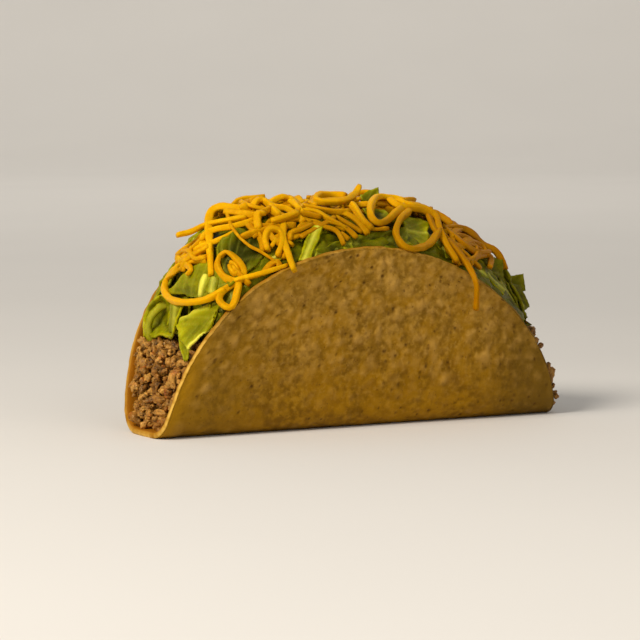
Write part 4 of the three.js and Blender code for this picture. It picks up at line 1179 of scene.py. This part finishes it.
def shred(bundle, rng, route, width, thick, sides, tones):
    """A grated shred: a flat bar of rounded section with blunt ends, a little twisted."""
    count = len(route)
    tangent = unit(np.gradient(route, axis=0))
    frames = []
    normal = unit(np.cross(tangent[0], (0.3, 0.2, 1.0)))
    for t in tangent:
        normal = unit(normal - t * (normal @ t))
        frames.append(normal)
    normal = np.array(frames)
    binormal = np.cross(tangent, normal)

    at_end = np.minimum(np.arange(count), np.arange(count)[::-1]) == 0
    size = np.where(at_end, BLUNT_END, 1.0)
    along = SHRED_STEP * np.arange(count) + rng.uniform(0, 500)
    line = np.stack([along, np.zeros(count), np.zeros(count)], 1)
    wide = width * size * (1 + WIDTH_VARIES * noise(line, 5, 61, 2)) / 2
    high = thick * size * (1 + THICKNESS_VARIES * noise(line, 4, 62, 2)) / 2
    twist = rng.uniform(0, math.pi) + TWIST * noise(line, 18, 63, 1)
    angle = 2 * math.pi * (np.arange(sides) + 0.5) / sides
    cos, sin = np.cos(angle), np.sin(angle)
    x = wide[:, None] * np.sign(cos) * np.abs(cos) ** SHRED_SQUARE
    y = high[:, None] * np.sign(sin) * np.abs(sin) ** SHRED_SQUARE
    across = x * np.cos(twist)[:, None] - y * np.sin(twist)[:, None]
    up = x * np.sin(twist)[:, None] + y * np.cos(twist)[:, None]
    rings = route[:, None] + normal[:, None] * across[..., None] + binormal[:, None] * up[..., None]
    rough = SHRED_ROUGH * noise(rings, 1.1, 64, 2)
    rings = rings + unit(rings - route[:, None]) * rough[..., None]
    points, faces = tube(rings)
    bundle.add(points, faces, tone=rng.uniform(*tones))


def settle(route, radius):
    """Lowers a route onto the pile as a bending bar lies on it."""
    support = pile_under(route, radius) + radius * SETTLE_LIFT
    z = support
    for _ in range(SETTLE_PASSES):
        padded = np.pad(z, SETTLE_SPAN // 2, mode="reflect", reflect_type="odd")
        mean = np.convolve(padded, np.ones(SETTLE_SPAN) / SETTLE_SPAN, mode="valid")
        z = np.maximum(mean, support - SETTLE_SINK)
    return np.column_stack([route[:, :2], z])


def slope_y(x, side, share):
    """A place on a slope of the heap, at a share of the way from crest to rim."""
    return lerp(CREST_Y, float(rim(x, side)[0]), share)


def front_limit(x):
    places, shares = zip(*FRONT_COVER)
    return slope_y(x, FRONT, float(np.interp(x, places, shares)))


def free_route(rng, taken):
    """A random curved path over the heap that keeps clear of the places taken."""
    x = rng.uniform(*START_X)
    y = rng.uniform(front_limit(x), slope_y(x, BACK, START_BACK))
    heading = rng.uniform(0, 2 * math.pi)
    bend = rng.normal(0, ROUTE_BEND)
    points = []
    for _ in range(int(rng.uniform(*ROUTE_STEPS))):
        points.append([x, y, 0.0])
        x += SHRED_STEP * math.cos(heading)
        y += SHRED_STEP * math.sin(heading)
        heading += bend * SHRED_STEP
        bend += rng.normal(0, BEND_CHANGE)
        on_slopes = front_limit(x) < y < slope_y(x, BACK, FURTHEST_BACK)
        left = max(LEFT_LIMIT, LEFT_SLANT * y + LEFT_START)
        i, j = pile_cells(np.array([[x, y]]))
        if not (on_slopes and left < x < RIGHT_LIMIT) or taken[i[0], j[0]]:
            break
    return np.array(points)


def lay_shreds(bundle, rng, taken, covered, highest, sides):
    """Lays loose shreds where the heap is barest, and none above the highest lay."""
    for _ in range(PASS_COUNT):
        best, best_score = None, 0.0
        for _ in range(CHOICES):
            route = free_route(rng, taken)
            if len(route) < SHORTEST_ROUTE:
                continue
            route = settle(route, SHRED_WIDTH / 2)
            x, y, z = route.T
            dip = smooth_step(*DIP_START, x) * smooth_step(*DIP_STOP, x)
            spare = (BACK_LAY - dip) * smooth_step(*BACK_SLOPE, y) - CREST_DIP * dip
            rise = np.max(z - heap_height(x, y) - spare)
            score = np.mean(~covered[pile_cells(route)]) * min(len(route), LONG_ROUTE)
            if rise < highest and score > best_score:
                best, best_score = route, score
        if best is None:
            continue
        width, thick = rng.uniform(*LOOSE_WIDTH), rng.uniform(*LOOSE_THICKNESS)
        shred(bundle, rng, best, width, thick, sides, LOOSE_TONES)
        add_to_pile(best, SHRED_WIDTH / 2)
        mark(covered, best, LOOSE_MARGIN)


def cheese_shreds():
    bundle = Bundle("tone")
    rng = np.random.default_rng(CHEESE_SEED)
    taken = np.zeros(PILE.shape, dtype=bool)
    for x, y, radius in GREEN_WINDOWS:
        taken |= np.hypot(PILE_X[:, None] - x, PILE_Y[None, :] - y) < radius
    for _ in range(BED_PASSES):
        covered = taken.copy()
        lay_shreds(bundle, rng, taken, covered, BED_LAY, BED_SIDES)
    for kind in KINDS:
        for points in kind.routes.values():
            route = smooth_route(points)
            width, thick = kind.widest * rng.uniform(0.9, 1), kind.thickest * rng.uniform(0.85, 1)
            shred(bundle, rng, route, width, thick, ROUTE_SIDES, kind.tones)
            mark(taken, route, ROUTE_MARGIN)
    covered |= taken
    lay_shreds(bundle, rng, taken, covered, HIGHEST_LAY, LOOSE_SIDES)
    return bundle


# ---- Materials ----

def linear(value):
    """Linear light from a screen value of 0 to 255."""
    share = value / 255
    return share / 12.92 if value < 10.3 else ((share + 0.055) / 1.055) ** 2.4


def colour(red, green, blue):
    return (linear(red), linear(green), linear(blue), 1.0)


class Look:
    """A material with its base colour so far, and short calls that add nodes to it."""

    def __init__(self, name, subsurface=0.0, scatter_mm=1.0):
        self.material = bpy.data.materials.new(name)
        self.material.use_nodes = True
        self.nodes = self.material.node_tree.nodes
        self.links = self.material.node_tree.links
        self.shader = self.nodes["Principled BSDF"]
        self.shader.inputs["Subsurface Weight"].default_value = subsurface
        self.shader.inputs["Subsurface Scale"].default_value = scatter_mm * MM
        self.coordinates = self.nodes.new("ShaderNodeTexCoord").outputs["Object"]
        self.base = None

    def gloss(self, level, tint, ior=1.45):
        self.shader.inputs["IOR"].default_value = ior
        self.shader.inputs["Specular IOR Level"].default_value = level
        self.shader.inputs["Specular Tint"].default_value = (*tint, 1.0)

    def put(self, socket, value):
        """Sets a socket to a number or a colour, or joins another node's output to it."""
        if hasattr(value, "links"):
            self.links.new(value, socket)
        else:
            socket.default_value = value

    def node(self, kind, inputs, **settings):
        """Adds a node and gives its outputs."""
        node = self.nodes.new("ShaderNode" + kind)
        for name, setting in settings.items():
            setattr(node, name, setting)
        for socket, value in inputs.items():
            self.put(node.inputs[socket], value)
        return node.outputs

    def times(self, a, b):
        return self.node("Math", {0: a, 1: b}, operation="MULTIPLY")[0]

    def mix(self, share, a, b, blend="MIX"):
        return self.node("Mix", {"Factor": share, 6: a, 7: b}, data_type="RGBA", blend_type=blend)[2]

    def painted(self, channel, most=1.0):
        """From 0 to the most, as the mesh is painted."""
        return self.times(self.node("Attribute", {}, attribute_name=channel)["Fac"], most)

    def noise(self, size, detail, distortion=0.0):
        inputs = {"Scale": 1 / (size * MM), "Detail": detail, "Distortion": distortion}
        return self.node("TexNoise", {"Vector": self.coordinates, **inputs})["Fac"]

    def span(self, value, low, high, start=0.0, stop=1.0):
        """From start to stop, smoothly, while a value goes from low to high."""
        inputs = {"Value": value, "From Min": low, "From Max": high, "To Min": start, "To Max": stop}
        return self.node("MapRange", inputs, interpolation_type="SMOOTHSTEP")["Result"]

    def patches(self, size, detail, low, high, most, distortion=0.0):
        """From 0 to the most where noise of that size is high."""
        return self.span(self.noise(size, detail, distortion), low, high, 0, most)

    def place(self, axis):
        return self.node("SeparateXYZ", {0: self.coordinates})[axis]

    def height(self, low, high):
        """From 0 to 1 between two heights."""
        return self.span(self.place("Z"), low * MM, high * MM)

    def along(self, start, stop, most):
        """From 0 to the most between two places along the fold."""
        return self.span(self.place("X"), start * MM, stop * MM, 0, most)

    def coat(self, share, tint, blend="MIX"):
        """Lays a colour over the base, as far as the share says."""
        self.base = self.mix(share, self.base, tint, blend)

    def bump(self, height, distance, strength):
        """Adds fine relief to the relief that is there already."""
        normal = self.shader.inputs["Normal"]
        inputs = {"Height": height, "Distance": distance * MM, "Strength": strength}
        if normal.links:
            inputs["Normal"] = normal.links[0].from_socket
        self.put(normal, self.node("Bump", inputs)["Normal"])

    def finish(self, roughness):
        self.put(self.shader.inputs["Base Color"], self.base)
        self.put(self.shader.inputs["Roughness"], roughness)
        return self.material


LOW_GRAIN = colour(119, 82, 4), colour(153, 110, 13)
HIGH_GRAIN = colour(127, 91, 18), colour(163, 122, 41)
MUSTARD, TOAST, CREAM = colour(158, 112, 4), colour(114, 76, 12), colour(184, 142, 64)
RIGHT_PAINTED_SHADE, LEFT_PAINTED_SHADE = colour(98, 72, 17), colour(112, 82, 20)
BLISTER_TINT_AND_HIGHLIGHT, SPECK, PIT = colour(194, 150, 72), colour(84, 48, 8), colour(70, 38, 6)
GOLD, INNER_FACE, RIM_HIGHLIGHT = colour(170, 122, 6), colour(156, 96, 12), colour(230, 186, 88)


def tortilla_material():
    look = Look("tortilla")
    look.gloss(0.15, (1.0, 0.85, 0.5))
    grain = look.span(look.noise(2.6, 5, 0.3), 0.34, 0.66)
    look.base = look.mix(look.height(8, 44), look.mix(grain, *LOW_GRAIN), look.mix(grain, *HIGH_GRAIN))
    look.coat(look.patches(10, 3, 0.42, 0.62, 0.6), MUSTARD)
    look.coat(look.patches(4.5, 4, 0.52, 0.7, 0.4, 0.6), TOAST)
    look.coat(look.times(look.patches(1.3, 3, 0.5, 0.7, 0.35), look.height(-14, 36)), CREAM)
    # Painted shade: darker towards the right end, and a little towards the left end, as the light falls
    # off.
    look.coat(look.along(34, 72, 0.85), RIGHT_PAINTED_SHADE)
    look.coat(look.along(-26, -54, 0.42), LEFT_PAINTED_SHADE)
    # Paler blister tops: partly their own colour, partly painted highlight.
    look.coat(look.painted("pale", 0.55), BLISTER_TINT_AND_HIGHLIGHT)
    look.coat(look.patches(0.8, 2, 0.66, 0.74, 0.6), SPECK)
    look.coat(look.painted("dark", 0.8), PIT)
    look.coat(look.painted("gold", 0.7), GOLD)
    look.coat(look.painted("inside"), INNER_FACE)
    # Painted highlight along the rim, mostly at the left end.
    look.coat(look.painted("edge", 0.9), RIM_HIGHLIGHT)
    look.bump(look.noise(0.9, 4), 0.13, 0.7)
    return look.finish(look.span(look.noise(6, 3), 0.3, 0.7, 0.5, 0.72))


MINCE = colour(146, 94, 26), colour(212, 156, 70)
SEARED, SPICED = colour(116, 66, 14), colour(176, 82, 12)
BEEF_SHADOW, BEEF_RIGHT_SHADE = colour(40, 15, 2), colour(84, 44, 8)


def beef_material():
    look = Look("beef", 0.05)
    look.gloss(0.5, (1.0, 0.82, 0.5))
    look.base = look.mix(look.painted("tone"), *MINCE)
    look.coat(look.patches(1.1, 4, 0.45, 0.7, 0.7), SEARED)
    look.coat(look.patches(4.5, 2, 0.58, 0.7, 0.5), SPICED)
    look.coat(look.painted("dark"), BEEF_SHADOW)
    # Painted shade: darker towards the right end, as the light falls off.
    look.coat(look.along(20, 60, 0.45), BEEF_RIGHT_SHADE)
    look.bump(look.noise(0.5, 4), 0.25, 0.9)
    return look.finish(look.span(look.noise(1.2, 3), 0.35, 0.65, 0.27, 0.56))


GREENS = colour(38, 40, 1), colour(164, 158, 3)
DARK_GREEN, LEAF_GLINT = colour(80, 86, 2), colour(178, 180, 40)
PALE_LEAF, LETTUCE_RIGHT_SHADE = colour(234, 228, 84), colour(66, 60, 1)


def lettuce_material():
    look = Look("lettuce", 0.15)
    look.gloss(0.3, (1.0, 0.95, 0.2), 1.33)
    look.base = look.mix(look.painted("tone"), *GREENS)
    look.coat(look.patches(5, 3, 0.42, 0.66, 0.5), DARK_GREEN, "DARKEN")
    glint = look.patches(1.2, 4, 0.5, 0.75, 0.3)
    look.coat(look.times(glint, look.painted("tone")), LEAF_GLINT)
    look.coat(look.painted("pale", 0.95), PALE_LEAF)
    # Painted shade: darker towards the right end, as the light falls off.
    look.coat(look.along(28, 62, 0.6), LETTUCE_RIGHT_SHADE)
    look.bump(look.noise(2.4, 2), 0.35, 0.6)
    look.bump(look.noise(0.9, 3), 0.1, 0.6)
    return look.finish(look.span(look.noise(2.5, 3), 0.35, 0.65, 0.26, 0.5))


CHEDDAR = colour(186, 125, 1), colour(225, 167, 3)
BRIGHT_CHEESE_AND_HIGHLIGHT = colour(244, 190, 14)
SLOPE_CHEESE_SHADE, CHEESE_RIGHT_SHADE = colour(150, 100, 0), colour(166, 107, 0)


def cheese_material():
    look = Look("cheese", 0.15, 1.2)
    look.gloss(0.3, (1.0, 0.8, 0.1), 1.3)
    look.base = look.mix(look.painted("tone"), *CHEDDAR)
    # Brighter yellow patches: partly the cheese's own tone, partly painted highlight.
    look.coat(look.patches(2.2, 3, 0.45, 0.75, 0.4), BRIGHT_CHEESE_AND_HIGHLIGHT)
    # Painted shade: cheese below the crest is darker, growing from the left end to the middle and full
    # beyond.
    look.coat(look.times(look.along(-52, -8, 0.75), look.height(76, 67)), SLOPE_CHEESE_SHADE)
    # Painted shade: darker towards the right end, as the light falls off.
    look.coat(look.along(14, 52, 0.85), CHEESE_RIGHT_SHADE)
    look.bump(look.noise(0.7, 3), 0.1, 0.6)
    return look.finish(look.span(look.noise(1.6, 3), 0.35, 0.65, 0.38, 0.55))


# ---- Pieces ----

add_piece("shell", "tortilla_shell", tortilla_shell(), tortilla_material())
add_piece("beef", "ground_beef", ground_beef(), beef_material())
add_piece("lettuce", "lettuce_shreds", lettuce_shreds(), lettuce_material())
add_piece("cheese", "cheese_shreds", cheese_shreds(), cheese_material())

# ---- Floor, lights and camera ----

# Lengths are metres from here on.
FLOOR_FLAT = [0.4, 1.2, 2.2]  # radii of the flat part
FLOOR_CURVE = 1.2
FLOOR_SIDES, FLOOR_STEPS = 96, 12
FLOOR_ROUGHNESS = 0.8
FLOOR_TONES = colour(226, 223, 218), colour(221, 218, 213)
CAMERA_TURN = math.radians(26.82)
CAMERA_RISE = math.radians(5.45)
CAMERA_AWAY = 0.9
CAMERA_LENS, SENSOR = 151.4, 36  # millimetres
NEAREST_SEEN = 0.01
AIM = Vector((0, 0, 0.032))
FRAME_LEFT, FRAME_UP = 0.0075, 0.0026  # the photo's middle, left of and above the aim
SKY, SKY_STRENGTH = (1.0, 0.97, 0.93, 1), 0.36
# Name, place, size, power, tint and aim.
LIGHTS = [
    ("key", (-1.01, -0.3, 0.9), 0.53, 17.5, (1.0, 0.93, 0.83), Vector((-0.05, 0, 0.03))),
    ("fill", (0.3, -1.0, 0.6), 0.9, 2.5, (1.0, 0.96, 0.9), AIM),
    ("backdrop", (0.4, 1.2, 1.9), 1.5, 22, (1.0, 0.95, 0.88), Vector((1.4, 3.3, 0.6))),
]


def add_floor():
    """A pale floor that curves up into a low wall all round, far from the taco."""
    turns = np.linspace(0, math.pi / 2, FLOOR_STEPS + 1)[1:]
    radii = np.concatenate([FLOOR_FLAT, FLOOR_FLAT[-1] + FLOOR_CURVE * np.sin(turns)])
    heights = np.concatenate([np.zeros(len(FLOOR_FLAT)), FLOOR_CURVE * (1 - np.cos(turns))])
    angles = 2 * math.pi * np.arange(FLOOR_SIDES) / FLOOR_SIDES
    circle = np.stack([np.cos(angles), np.sin(angles)], 1)
    rings = [np.column_stack([r * circle, np.full(FLOOR_SIDES, h)]) for r, h in zip(radii, heights)]
    points = np.concatenate(rings + [[[0, 0, 0]]])
    loops = [k * FLOOR_SIDES + np.arange(FLOOR_SIDES) for k in range(len(rings))]
    bands = [band(outer, inner) for inner, outer in zip(loops, loops[1:])]
    faces = np.concatenate(bands).tolist() + fan(loops[0], len(points) - 1).tolist()
    look = Look("floor_paint")
    look.base = look.mix(look.noise(180, 2), *FLOOR_TONES)
    mesh = smooth_mesh("floor", points, faces, look.finish(FLOOR_ROUGHNESS))
    floor = put_in_scene("floor", mesh)


def add_light(name, place, size, power, tint, aim):
    data = bpy.data.lights.new(name, "AREA")
    data.shape = "DISK"
    data.size = size
    data.energy = power
    data.color = tint
    light = put_in_scene(name, data)
    light.location = place
    light.rotation_euler = (aim - Vector(place)).to_track_quat("-Z", "Y").to_euler()


def add_camera():
    level = math.cos(CAMERA_RISE)
    back = Vector((-math.sin(CAMERA_TURN) * level, -math.cos(CAMERA_TURN) * level, math.sin(CAMERA_RISE)))
    right = Vector((math.cos(CAMERA_TURN), -math.sin(CAMERA_TURN), 0))
    up = back.cross(right)
    data = bpy.data.cameras.new("camera")
    data.lens = CAMERA_LENS
    data.sensor_width = SENSOR
    data.clip_start = NEAREST_SEEN
    camera = put_in_scene("camera", data)
    turn = Matrix((right, up, back)).transposed().to_4x4()
    place = AIM + back * CAMERA_AWAY - right * FRAME_LEFT + up * FRAME_UP
    camera.matrix_world = Matrix.Translation(place) @ turn
    bpy.context.scene.camera = camera


def add_world():
    world = bpy.data.worlds.new("studio")
    world.use_nodes = True
    background = world.node_tree.nodes["Background"]
    background.inputs["Color"].default_value = SKY
    background.inputs["Strength"].default_value = SKY_STRENGTH
    bpy.context.scene.world = world


add_floor()
add_world()
for lamp in LIGHTS:
    add_light(*lamp)
add_camera()
bpy.context.scene.view_settings.view_transform = "Standard"
